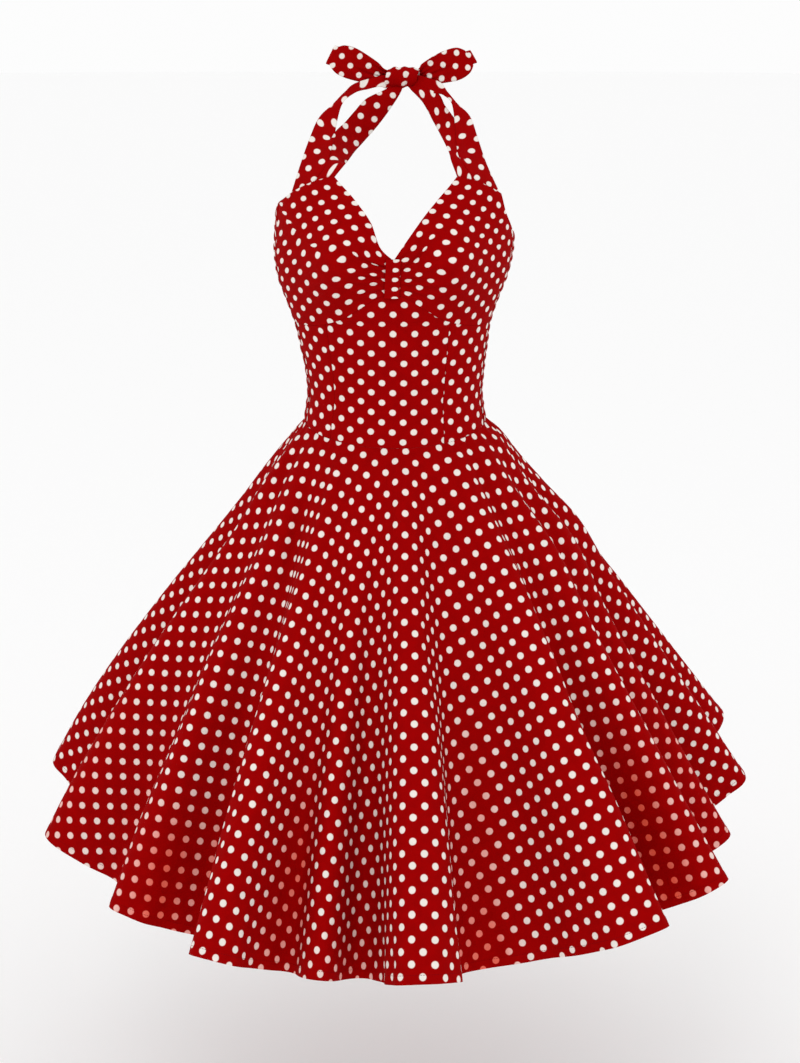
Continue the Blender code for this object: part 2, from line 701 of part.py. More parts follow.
def bow_loop(name, stations, material, parent):
    """Loop of the bow: out from the knot, round the fold at the tip and back behind."""
    tops = [Vector((row[0], 0.0, row[1])) for row in stations]
    bottoms = [Vector((row[2], 0.0, row[3])) for row in stations]
    depths = [row[4] for row in stations]
    tip_depth = depths[-1]
    outward = (tops[-1] + bottoms[-1] - tops[0] - bottoms[0]).normalized()
    rows = []

    def add_row(share, depth, reach):
        top, bottom = smooth_path(tops, share), smooth_path(bottoms, share)
        offset = Vector((0.0, BOW_DEPTH + depth, 0.0)) + outward * reach
        rows.append([bottom.lerp(top, j / RIBBON_WIDTH_STEPS) + offset
                     for j in range(RIBBON_WIDTH_STEPS + 1)])

    for i in range(BOW_LAYER_STEPS + 1):
        share = i / BOW_LAYER_STEPS
        add_row(share, -smooth_path(depths, share), 0.0)
    for i in range(1, BOW_TURN_STEPS):
        turn = math.pi * (i / BOW_TURN_STEPS - 0.5)
        add_row(1.0, tip_depth * math.sin(turn), tip_depth * math.cos(turn))
    for i in range(BOW_LAYER_STEPS, -1, -1):
        share = i / BOW_LAYER_STEPS
        add_row(share, smooth_path(depths, share), 0.0)
    return add_piece(name, ribbon_mesh(rows), material, parent)


def bow_knot(material, parent):
    """Knot of the bow: a rounded block of tightly wrapped cloth."""
    mesh_data = bmesh.new()
    bmesh.ops.create_cube(mesh_data, size=2.0)
    bmesh.ops.scale(mesh_data, vec=KNOT_HALF_SIZE, verts=mesh_data.verts)
    bmesh.ops.bevel(mesh_data, geom=mesh_data.edges[:], offset=KNOT_ROUNDING, segments=3,
                    profile=0.5, affect="EDGES")
    bmesh.ops.translate(mesh_data, vec=KNOT_CENTRE, verts=mesh_data.verts)
    return add_piece("bow_knot", mesh_data, material, parent)


# ---------------------------------------------------------------- the dress

def build_skirt(parent):
    material = cloth_material("skirt_cloth")
    skirt = Skirt()
    quarter = math.pi / 2
    skirt_half("skirt_front", skirt, -quarter, quarter, material, parent)
    skirt_half("skirt_back", skirt, quarter, 3 * quarter, material, parent)


def build_bodice(parent):
    material = cloth_material("bodice_cloth")

    def left_seam(height):
        return table_value(PRINCESS_SEAM_LEFT, height)

    def right_seam(height):
        return table_value(PRINCESS_SEAM_RIGHT, height)

    midriff_panel("midriff_front", left_seam, right_seam, material, parent)
    midriff_panel("midriff_side_left", lambda height: -SIDE_AZIMUTH, left_seam,
                  material, parent)
    midriff_panel("midriff_side_right", right_seam, lambda height: SIDE_AZIMUTH,
                  material, parent)
    cup("cup_left", -1, NECKLINE_LEFT, ARMHOLE_LEFT, material, parent)
    cup("cup_right", 1, NECKLINE_RIGHT, ARMHOLE_RIGHT, material, parent)
    centre_loop(material, parent)
    back_bodice(cloth_material("shirred_cloth"), parent)


def build_halter(parent):
    material = cloth_material("halter_cloth")
    for name, side, stations in (("halter_band_left", -1, BAND_LEFT),
                                 ("halter_band_right", 1, BAND_RIGHT)):
        halter_ribbon(name, side, stations, STRAP_OUTER_AZIMUTH, STRAP_SPLIT_AZIMUTH,
                      material, parent)
    for name, side, stations in (("halter_tie_left", -1, TIE_LEFT),
                                 ("halter_tie_right", 1, TIE_RIGHT)):
        halter_ribbon(name, side, stations, STRAP_SPLIT_AZIMUTH, STRAP_INNER_AZIMUTH,
                      material, parent)
    bow_loop("bow_loop_left", BOW_LEFT, material, parent)
    bow_loop("bow_loop_right", BOW_RIGHT, material, parent)
    bow_knot(material, parent)


def main():
    for item in list(bpy.data.objects):
        bpy.data.objects.remove(item, do_unlink=True)
    dress = bpy.data.objects.new("dress", None)
    bpy.context.scene.collection.objects.link(dress)
    build_skirt(dress)
    build_bodice(dress)
    build_halter(dress)


main()
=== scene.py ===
"""Detailed view of the halter-neck swing dress, in the CAD's own frame.

Metres, +Z up, the front faces -Y, and left and right are the viewer's. Each CAD piece is
replaced by a thin shell of cloth on the same form, with its creases, gathers and stitching.
The print is drawn from each piece's flat pattern, in metres.
"""
import math

import bpy
import numpy as np
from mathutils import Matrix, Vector


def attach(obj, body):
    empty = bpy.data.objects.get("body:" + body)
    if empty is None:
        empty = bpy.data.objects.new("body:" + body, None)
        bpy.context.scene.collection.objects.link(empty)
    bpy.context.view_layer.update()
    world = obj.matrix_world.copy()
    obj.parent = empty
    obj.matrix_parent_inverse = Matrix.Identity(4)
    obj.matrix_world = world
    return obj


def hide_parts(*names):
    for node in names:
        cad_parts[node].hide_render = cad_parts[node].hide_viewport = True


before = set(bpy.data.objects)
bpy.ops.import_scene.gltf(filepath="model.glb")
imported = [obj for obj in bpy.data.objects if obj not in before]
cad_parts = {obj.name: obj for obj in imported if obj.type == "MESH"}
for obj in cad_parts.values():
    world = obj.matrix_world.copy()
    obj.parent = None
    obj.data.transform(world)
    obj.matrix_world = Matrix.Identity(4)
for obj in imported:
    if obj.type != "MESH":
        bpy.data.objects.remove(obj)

FULL_TURN = 2 * math.pi
scene = bpy.context.scene

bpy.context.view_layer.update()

# ---- camera

camera_data = bpy.data.cameras.new("camera")
camera = bpy.data.objects.new("camera", camera_data)
scene.collection.objects.link(camera)
scene.camera = camera
camera.location = (0.0053, -2.1, 0.059)
camera.rotation_euler = (math.radians(73), 0, 0)
camera_data.sensor_fit = "VERTICAL"
camera_data.sensor_height = 36
camera_data.lens = 55.9
scene.view_settings.view_transform = "Standard"

# ---- dimensions, as in the CAD


def lengths(rows, first=0):
    """A table in metres, from one with millimetres in its columns from first on."""
    table = np.array(rows, float)
    table[..., first:] /= 1000
    return table


SEAM_GAP = 0.0003
SKIRT_LENGTH = 0.647
WAIST_SIDE_HEIGHT = -0.424
WAIST_FRONT_DIP = 0.021
THREAD_ARCH = 0.011
ARCH_SKEW = 0.9
HEM_SPAN = 0.487

TORSO_SECTIONS = lengths((
    # height, centre_x, half_width, front_depth, back_depth
    (-455, -1, 118.5, 98, 96), (-426, -1.3, 117, 96, 94), (-394, -1.3, 112.5, 95, 92),
    (-362, -1.5, 114.8, 97, 93), (-331, -2.8, 119.5, 100, 95), (-300, -4.3, 125, 103, 97),
    (-269, -4.8, 135.5, 107, 99), (-238, -4.2, 146, 110, 100), (-208, -2.6, 150.3, 112, 100),
    (-150, 0, 148.5, 112, 94), (-100, 0, 146, 104, 85),
))
WAIST_HALF_WIDTH = 0.117
BUST_HALF_WIDTH = 0.14
CUP_HEIGHT = -0.215
CUP_SPREAD = 0.072
CUP_PROUD = 0.042
CUP_REACH_X = 0.042
CUP_REACH_Z = 0.05

# Edges, as azimuths in degrees and heights
UNDERBUST_EDGE = lengths((
    (0, -250), (3.1, -251), (6.2, -253.5), (11.1, -260), (18, -270), (24.5, -279), (30, -284.5),
    (36, -288.5), (43, -292.5), (50, -295), (57, -296.5), (64, -297.2), (71, -297.8), (78, -298),
), 1)
NECKLINE_LEFT = lengths(((0, -209), (6.5, -192), (11, -164.5), (19.5, -137), (25.3, -123),
                         (30.5, -111)), 1)
NECKLINE_RIGHT = lengths(((0, -209), (7, -180), (13.5, -156), (20, -137), (25.3, -124),
                          (30.5, -111)), 1)
STRAP_INNER_AZIMUTH = 30.5
STRAP_SPLIT_AZIMUTH = 43
STRAP_OUTER_AZIMUTH = 60.5
SIDE_AZIMUTH = 78
SIDE_SEAM_SHARE = 0.42
STRAP_EDGE = lengths(((30.5, -111), (43, -119), (60.5, -135)), 1)
ARMHOLE_LEFT = lengths(((60.5, -135), (69, -143), (78, -149)), 1)
ARMHOLE_RIGHT = lengths(((60.5, -135), (66, -159), (78, -183)), 1)
BACK_EDGE = lengths(((78, -183), (100, -195), (130, -217), (155, -238), (180, -245),
                     (205, -236), (230, -208), (260, -167), (282, -149)), 1)
PRINCESS_SEAMS = np.array((  # height, azimuth of the left seam and of the right
    (-0.45, -44, 32), (-0.36, -43, 30.5), (-0.28, -40, 35)))

HEM_FOLDS = np.array((
    # azimuth, radius in millimetres, roundness, and 1 where the fold takes up the slack
    (-159, 390, 1.15, 1), (-150, 492, 1.2, 0), (-141, 372, 1.15, 1), (-131, 480, 1.2, 0),
    (-118, 385, 1.1, 1), (-100.5, 503, 1.2, 0), (-88.5, 400, 1.1, 0), (-75.5, 482, 1.15, 0),
    (-64.5, 392, 1.1, 0), (-51.5, 447, 1.15, 0), (-40.5, 355, 1.1, 0), (-28, 481, 1.1, 0),
    (-20, 378, 1, 0), (-12.5, 428, 1, 0), (-6.5, 352, 1, 0), (2, 458, 0.9, 0), (8, 452, 0.9, 0),
    (14.5, 340, 0.9, 0), (28, 362, 0.9, 0), (36.5, 470, 0.9, 0), (42, 486, 1, 0),
    (49.5, 382, 1.1, 0), (58.5, 486, 1.15, 0), (68, 390, 1.1, 0), (78, 461, 1.15, 0),
    (86, 390, 1.1, 0), (94, 498, 1.15, 0), (102.5, 395, 1.1, 0), (111, 524, 1.2, 0),
    (121, 385, 1.15, 1), (130, 490, 1.2, 0), (139, 375, 1.15, 1), (148, 480, 1.2, 0),
    (157, 385, 1.15, 1), (167, 500, 1.2, 0), (176, 375, 1.15, 1), (185, 485, 1.2, 0),
    (193, 390, 1.15, 1),
))
HEM_POINTS_PER_ROW = 24

# Outer edge and inner edge of each ribbon. The last row lies inside the knot.
BAND_LEFT = lengths((
    ((-116, -45, -101), (-84, -73, -101)), ((-106.2, -24, -73.3), (-80.3, -45, -84)),
    ((-94.5, 6, -46.6), (-74.1, -8, -63.7)), ((-78.3, 22, -32.3), (-65.1, 12, -32.3)),
    ((-65.1, 40, -19.1), (-48.8, 33, -19.3)), ((-51, 53, -8), (-31.5, 49, -15.9)),
    ((-14, 60.5, 1), (-14, 59, -9.5)), ((-2, 64, 1.5), (-2, 62, -8.5)),
))
BAND_RIGHT = lengths((
    ((111, -45, -101), (80, -74, -98)), ((101.4, -24, -73.3), (76, -45, -84)),
    ((92.2, 6, -47.3), (73.9, -10, -56.4)), ((76.8, 22, -32.3), (68.8, 12, -32.3)),
    ((65.5, 40, -18.2), (60, 33, -24.1)), ((56, 53, -7.5), (47.9, 49, -19.6)),
    ((28, 60.5, 1), (28, 59, -10.5)), ((16, 64, 1.5), (16, 62, -8.5)),
))
TIE_LEFT = lengths((
    ((-84, -73, -101), (-61, -82, -99)), ((-80.3, -45, -84), (-62.2, -45, -101.9)),
    ((-74.1, -8, -63.7), (-52.4, 5, -92.4)), ((-64.1, 14, -54.1), (-40.3, 30, -80.6)),
    ((-52.6, 31, -41.6), (-20.2, 47, -58.9)), ((-37.8, 45, -27), (-2.5, 54, -35.3)),
    ((-12.5, 57.5, -16), (8, 57.5, -16.2)), ((-6, 63, -6), (10, 63, -6)),
))
TIE_RIGHT = lengths((
    ((80, -74, -98), (67, -81, -96)), ((76, -45, -84), (63, -62, -83)),
    ((73.9, -10, -56.4), (50.3, 8, -59.8)), ((69.6, 13, -44.4), (42.6, 30, -47.6)),
    ((62.6, 30, -35), (34, 43, -33.6)), ((52.8, 44.2, -20.5), (26.5, 51, -24.2)),
    ((27.5, 57.5, -12), (18, 57.5, -16)), ((23, 63, -6), (12, 63, -6)),
))
RIBBON_SIDE_GAP = 0.0011

# top_x, top_z, bottom_x, bottom_z, half_depth. The first row lies inside the knot.
BOW_LEFT = lengths((
    (1, 4, 1, -8, 3), (-14, 8, -14, -10.5, 3.2), (-24, 17, -30, -10, 8),
    (-48, 32, -56, -5, 11.5), (-63, 37, -74, 1.5, 9.5), (-70.5, 37, -84.5, 10.5, 5),
))
BOW_RIGHT = lengths((
    (13, 4, 13, -8, 3), (28.1, 8, 28.1, -12, 3.2), (34, 15, 48, -10.5, 8),
    (54, 27, 77, -6, 11.5), (74, 35, 92.5, 0.5, 9.5), (85, 35, 101, 8.5, 5),
))
BOW_DEPTH = 0.069
KNOT_CENTRE = (0.007, 0.0655, -0.002)
KNOT_HALF_SIZE = (0.02, 0.0135, 0.0125)

# ---- dimensions of the detail

CLOTH = 0.0008  # one layer of cloth
FACED = 0.0015  # two layers, as in the bodice and the hem
RIBBON = 0.002  # halter and bow, cloth folded double
RIBBON_EDGE = 0.0003  # the same at their rounded edges
KNOT_CLOTH = 0.0012
HEM_TURN = 0.012  # width of the turned hem
HEM_STITCH = 0.0015  # from the turned hem's edge to its stitches
HEM_EDGE = 0.001  # half the length over which its edge falls away
HEM_ROWS = lengths((0, 2.5, 6, 9, 11.5, 12.8, 15))  # close rows of the grid, up from the hem
HEM_ROW_GAP = 0.004  # least gap to the even rows above them
SEAM_CLEAR = 0.7 * SEAM_GAP  # half a seam's gap, measured along a slanting seam
DOT_PITCH = 0.0195  # from dot to dot along the print's rows
DOT_RADIUS = 0.225  # share of the pitch
DOT_BLUR = (0.035, 0.012)  # of the dot's rim, inwards and outwards
DOT_WOBBLE = 0.0007  # how far the dots' outlines stray
STITCH_PITCH = 0.0032
STITCH_HALF_WIDTH = 0.00035
THREAD_RED = (0.22, 0.002, 0.004, 1)
UNEVEN_DYE = (0.82, 0.92, 0.92, 1)  # factors of the print's colours where the dye is strong
PAINTED_SHADE_TINT = (0.95, 0.13, 0.08, 1)  # painted shade: factors of the print's colours deep in the skirt's folds
SHIRR_PUFFS = 19  # puffs between the elastic threads of the back
SHIRR_LIFT = 0.0034  # how far they stand out
SHIRR_RUFFLE = 0.0095  # from ruffle to ruffle along a strip
SHIRR_PRINT = (1.5, 1.1)  # cloth lengths for one length of the gathered back
RIBBON_LAP = 0.003  # how far the halter's ribbons lap over each other low down
KNOT_LAP = 0.006  # the same near the knot
LAP_RISE = 0.0018  # how far the upper ribbon of a lap stands proud
STRAP_TUCK = 0.003  # how far the ribbons start inside the cups' upper edge
STRAP_UNDER = 0.0005  # and how far under their surface
BOW_PRINT = 1.24  # cloth lengths for one length of the creased bow
KNOT_FOLD = 0.055  # height of the folds of the knot, as a share of its size
KNOT_SLIMMING = 0.22  # how much slimmer it is at its ends
KNOT_SQUARENESS = 0.72
LOOP_HEIGHTS = (-0.254, -0.207)
LOOP_HALF_WIDTH = 0.0095
LOOP_SWELL = 0.0022
LOOP_GATHER = 1.7  # cloth lengths for one length of the loop
LOOP_DOTS_X = 0.0035  # the loop's column of dots stands beside its middle line
LOOP_DOT_HEIGHT = -0.231
UNDERBUST_FOLD_HEIGHT = -0.2895
UNDERBUST_FOLD_DEPTH = 0.0016
UNDERBUST_FOLD_WIDTH = 0.0042
UNDERBUST_HIDDEN = 0.006  # cloth hidden in that fold
SEAM_GROOVE = (0.0007, 0.0022)  # depth and width of the groove along a seam
MIDRIFF_STRETCH = (1.026, 1.097)  # cloth lengths for one length of the stretched midriff
MIDRIFF_MARK = (0.754, 0.553)  # place up and across where its print is laid
CUP_GRID = 110  # rows and columns
CUP_RIPPLE = 0.0007  # height of the gathers of a cup
CUP_RIPPLES = 4.6  # how many there are up its inner edge
RIDGE_OFF = 1.9  # from a crease to the ridges beside it, in its widths
CUP_RIDGE = 0.5  # height of the ridges, as a share of its depth
CUP_CUT_ENDS = (0.12, 0.94)  # shares of the upper edge between which the print is laid
CUP_FULLNESS = 0.25  # extra cloth gathered into the centre, as a share
HEM_SAMPLES = 1440  # even places round the hem
CREST_ROUNDING = 1.1  # degrees of the flat cloth over which the hem is rounded
CALM_SPREAD = 6  # the same for the calm cloth near the waist
CALM_REACH = 1.07  # how much wider the calm cloth stands
FOLD_START = 0.5  # share of the folds' depth right under the waist

# ---- tables and curves


def blend_cubic(start, end, start_slope, end_slope, share):
    s2 = share * share
    s3 = s2 * share
    return (start * (2 * s3 - 3 * s2 + 1) + start_slope * (s3 - 2 * s2 + share)
            + end * (3 * s2 - 2 * s3) + end_slope * (s3 - s2))


def curve(keys, rows, key):
    """Smooth curves through the rows given at some keys, at an array of keys."""
    key = np.clip(np.asarray(key, float), keys[0], keys[-1])
    last = len(keys) - 1
    index = np.clip(np.searchsorted(keys, key) - 1, 0, last - 1)
    step = (keys[index + 1] - keys[index])[..., None]

    def slope(start, end):
        return (rows[end] - rows[start]) / (keys[end] - keys[start])[..., None] * step

    return blend_cubic(rows[index], rows[index + 1], slope(np.maximum(index - 1, 0), index + 1),
                       slope(index, np.minimum(index + 2, last)),
                       (key - keys[index])[..., None] / step)


def table_rows(table, key):
    """Values of a table at an array of keys of its first column."""
    return curve(table[:, 0], table[:, 1:], key)


def table_values(table, key):
    return table_rows(table, key)[..., 0]


def smooth_path(points, share):
    """Points at shares of the way along a smooth curve through evenly counted points."""
    keys = np.arange(float(len(points)))
    return curve(keys, points, share * keys[-1])


def straight_path(keys, points, key):
    """Points at an array of keys, on straight lines between points at some keys."""
    return joined(*(np.interp(key, keys, column) for column in points.T))


def closed(points):
    return np.concatenate([points, points[:1]])


def joined(*parts):
    return np.stack(parts, axis=-1)


def spans(vectors):
    return np.linalg.norm(vectors, axis=-1)


def bell(value, width):
    return np.exp(-(value / width) ** 2)


def crease(off, width, ridge):
    """Crease of depth 1 with a ridge along each side."""
    return ridge * bell(np.abs(off) - RIDGE_OFF * width, width) - bell(off, width)


def ease(value, start, end):
    """0 before start, 1 after end, smooth in between."""
    share = np.clip((value - start) / (end - start), 0, 1)
    return share * share * (3 - 2 * share)


def degrees_off(degrees, place):
    """Degrees from a place, at most half a turn."""
    return (degrees - place + 180) % 360 - 180


def unit(vectors):
    return vectors / np.maximum(spans(vectors)[..., None], 1e-12)


def arc_lengths(points, axis):
    """Length along the lines of a grid, from the grid's first row or column."""
    steps = spans(np.diff(points, axis=axis))
    return np.insert(np.cumsum(steps, axis=axis), 0, 0, axis=axis)


# ---- the figure and the skirt


def torso_points(azimuth, height):
    """Points on the outside of the bodice, azimuth in radians from the centre front."""
    centre, half_width, front, back = np.moveaxis(table_rows(TORSO_SECTIONS, height), -1, 0)
    sideways, forward = half_width * np.sin(azimuth), np.cos(azimuth)
    across = (np.abs(sideways) - CUP_SPREAD) / CUP_REACH_X
    upward = (height - CUP_HEIGHT) / CUP_REACH_Z
    cup = CUP_PROUD * np.exp(-across ** 2 - upward ** 2) * np.clip(3 * forward, 0, 1)
    depth = np.where(forward < 0, back, front)
    return joined(centre + sideways, -depth * forward - cup, height + 0 * azimuth)


def waist_heights(azimuth):
    return WAIST_SIDE_HEIGHT - WAIST_FRONT_DIP * ((1 + np.cos(azimuth)) / 2) ** 2


def underbust_heights(degrees):
    return np.interp(np.abs(degrees), UNDERBUST_EDGE[:, 0], UNDERBUST_EDGE[:, 1])


class Skirt:
    """Full-circle skirt, as in the CAD: straight threads from the waist to the hem."""

    def __init__(self):
        angles = np.linspace(-math.pi, math.pi, 361)
        self.waist = torso_points(angles, waist_heights(angles))
        self.waist_lengths = arc_lengths(self.waist, 0)
        self.waist_radius = self.waist_lengths[-1] / FULL_TURN
        # The slack folds are made as deep as the length of the hem needs.
        shallow, deep = 0.3, 1.6
        for _ in range(24):
            depth = (shallow + deep) / 2
            self.lay_hem(depth)
            if self.hem_length < FULL_TURN * (self.waist_radius + SKIRT_LENGTH):
                shallow = depth
            else:
                deep = depth
        self.folded = self.even_hem(CREST_ROUNDING)
        self.calm = self.even_hem(CALM_SPREAD) * (CALM_REACH, CALM_REACH, 1)

    def waist_points(self, flat):
        target = ((flat / FULL_TURN + 0.5) % 1) * self.waist_lengths[-1]
        return straight_path(self.waist_lengths, self.waist, target)

    def plan_of_hem(self, depth):
        azimuth, radius, roundness, slack = HEM_FOLDS.T
        turn, radius = np.radians(azimuth), radius / 1000
        radius = np.where(slack > 0, HEM_SPAN + (radius - HEM_SPAN) * depth, radius)
        corners = joined(radius * np.sin(turn), -radius * np.cos(turn))
        ends = np.roll(corners, -1, 0)
        around = joined(np.cos(turn), np.sin(turn))
        directions = unit(unit(ends - np.roll(corners, 1, 0)) + around)
        reach = spans(ends - corners)
        start_slope = directions * (reach * roundness)[:, None]
        end_slope = np.roll(directions, -1, 0) * (reach * np.roll(roundness, -1))[:, None]
        share = (np.arange(HEM_POINTS_PER_ROW) / HEM_POINTS_PER_ROW)[None, :, None]
        rows = (row[:, None] for row in (corners, ends, start_slope, end_slope))
        return blend_cubic(*rows, share).reshape(-1, 2)

    def lay_hem(self, depth):
        plan = self.plan_of_hem(depth)
        heights = np.full(len(plan), WAIST_SIDE_HEIGHT - SKIRT_LENGTH * 0.85)
        azimuths = np.unwrap(np.arctan2(plan[:, 0], -plan[:, 1]))
        centre = int(np.argmin(np.abs(azimuths)))
        for _ in range(4):
            hem = np.column_stack([plan, heights])
            around = arc_lengths(closed(hem), 0)
            self.hem_length = around[-1]
            flats = FULL_TURN * around[:-1] / self.hem_length
            self.flats = flats + azimuths[centre] - flats[centre]
            waist = self.waist_points(self.flats)
            across = spans(plan - waist[:, :2])
            heights = waist[:, 2] - np.sqrt(SKIRT_LENGTH ** 2 - across ** 2)
        self.hem = np.column_stack([plan, heights])

    def even_hem(self, spread):
        """The hem at HEM_SAMPLES even flat angles, smoothed over a spread in degrees."""
        flat = np.linspace(-math.pi, math.pi, HEM_SAMPLES, endpoint=False)
        start = self.flats[0]
        even = straight_path(np.append(self.flats, start + FULL_TURN), closed(self.hem),
                             (flat - start) % FULL_TURN + start)
        keep = np.exp(-(np.arange(HEM_SAMPLES // 2 + 1) * math.radians(spread)) ** 2 / 2)
        return closed(np.fft.irfft(np.fft.rfft(even, axis=0) * keep[:, None], HEM_SAMPLES,
                                   axis=0))

    def hem_points(self, flat, share):
        """Hem that the threads at a place head for: calm near the waist, folded below."""
        place = (flat / FULL_TURN + 0.5) % 1 * HEM_SAMPLES
        calm, folded = (straight_path(np.arange(HEM_SAMPLES + 1), hem, place)
                        for hem in (self.calm, self.folded))
        depth = FOLD_START + (1 - FOLD_START) * ease(share, 0.05, 0.85)
        return calm + (folded - calm) * depth

    def points(self, flat, down):
        """Points of the cloth at flat angles and distances down from the waist seam."""
        share = (down / SKIRT_LENGTH)[..., None]
        waist, hem = self.waist_points(flat), self.hem_points(flat, share)
        across = (hem - waist) * (1, 1, 0)
        reach = spans(across)[..., None]
        outward = across / reach
        lift = unit(outward * (waist - hem)[..., 2:] + reach * (0, 0, 1))
        skew = 1 + ARCH_SKEW * (1 - 2 * share) * outward[..., :1]
        arch = lift * 4 * THREAD_ARCH * share * (1 - share) * skew
        return waist + (hem - waist) * share + arch


# ---- print and cloth materials


def printed_cloth(name, cream, rim, red):
    """Cotton with a dot print, from the piece's flat pattern in metres."""
    material = bpy.data.materials.new(name)
    material.use_nodes = True
    tree = material.node_tree

    def fill(node, inputs):
        for key, value in inputs.items():
            if isinstance(value, bpy.types.NodeSocket):
                tree.links.new(value, node.inputs[key])
            else:
                node.inputs[key].default_value = value

    def add(kind, inputs, output=0, **settings):
        """Adds a node with values or links at its inputs, and gives one of its outputs."""
        node = tree.nodes.new("ShaderNode" + kind)
        for key, value in settings.items():
            setattr(node, key, value)
        fill(node, inputs)
        return node.outputs[output]

    def vector(operation, inputs, output=0):
        return add("VectorMath", inputs, output, operation=operation)

    def number(operation, first, second=0):
        return add("Math", {0: first, 1: second}, operation=operation)

    def mixed(blend, share, first, second):
        """Colour that goes from a linked colour to a plain one, by a mix node's inputs."""
        return add("Mix", {0: share, 6: first, 7: second}, 2, data_type="RGBA",
                   blend_type=blend)

    pattern = add("UVMap", {}, uv_map="pattern")
    wobble = add("TexNoise", {"Vector": pattern, "Scale": 260, "Detail": 2}, "Color")
    centred = vector("SUBTRACT", {0: wobble, 1: (0.5, 0.5, 0.5)})
    small = vector("SCALE", {0: centred, "Scale": DOT_WOBBLE})
    shifted = vector("ADD", {0: pattern, 1: small})
    turned = add("Mapping", {"Vector": shifted, "Rotation": (0, 0, math.radians(45)),
                             "Scale": (1 / DOT_PITCH, 1 / DOT_PITCH, 0)})
    cell = vector("FRACTION", {0: turned})
    distance = vector("LENGTH", {0: vector("SUBTRACT", {0: cell, 1: (0.5, 0.5, 0)})}, "Value")
    ink = add("ValToRGB", {"Fac": distance})
    stops = ink.node.color_ramp.elements
    stops[0].position, stops[0].color = DOT_RADIUS - DOT_BLUR[0], cream
    stops[1].position, stops[1].color = DOT_RADIUS + DOT_BLUR[1], red
    stops.new(DOT_RADIUS).color = rim

    threads = [add("TexWave", {"Scale": 620, "Distortion": 0.6, "Vector": pattern}, "Fac",
                   bands_direction=direction) for direction in "XY"]
    weave = add("Bump", {"Strength": 0.25, "Distance": 0.00008,
                         "Height": number("ADD", *threads)})

    # The stitch attribute carries the line of stitches and the painted shade of the skirt's
    # folds.
    place = add("Attribute", {}, "Vector", attribute_name="stitch")
    along, off_line, painted_shade = add("SeparateXYZ", {0: place}).node.outputs
    on_line = number("LESS_THAN", number("ABSOLUTE", off_line), STITCH_HALF_WIDTH)
    dash = number("LESS_THAN", number("FRACT", number("DIVIDE", along, STITCH_PITCH)), 0.72)
    stitch = number("MULTIPLY", number("MULTIPLY", on_line, dash), 0.8)
    sewn = mixed("MIX", stitch, ink, THREAD_RED)

    dye = add("TexNoise", {"Scale": 70, "Detail": 6, "Roughness": 0.7, "Vector": pattern},
              "Fac")
    strength = add("MapRange", {"From Min": 0.3, "From Max": 0.7, "To Min": 1, "To Max": 0,
                                "Value": dye})
    dyed = mixed("MULTIPLY", strength, sewn, UNEVEN_DYE)
    # Painted shade: the print is tinted red deep in the skirt's folds, standing in for their
    # shadow.
    deep = mixed("MULTIPLY", painted_shade, dyed, PAINTED_SHADE_TINT)
    fill(tree.nodes["Principled BSDF"], {"Roughness": 0.9, "Specular IOR Level": 0.03,
                                         "Normal": weave, "Base Color": deep})
    return material


RIGHT_SIDE = printed_cloth("printed_cotton", (0.94, 0.84, 0.78, 1), (0.72, 0.3, 0.27, 1),
                           (0.345, 0, 0.0004, 1))
WRONG_SIDE = printed_cloth("cotton_wrong_side", (0.5, 0.3, 0.27, 1), (0.44, 0.17, 0.16, 1),
                           (0.36, 0.03, 0.032, 1))

# ---- shells of cloth


def grid_normals(points):
    return unit(np.cross(np.gradient(points, axis=1), np.gradient(points, axis=0)))


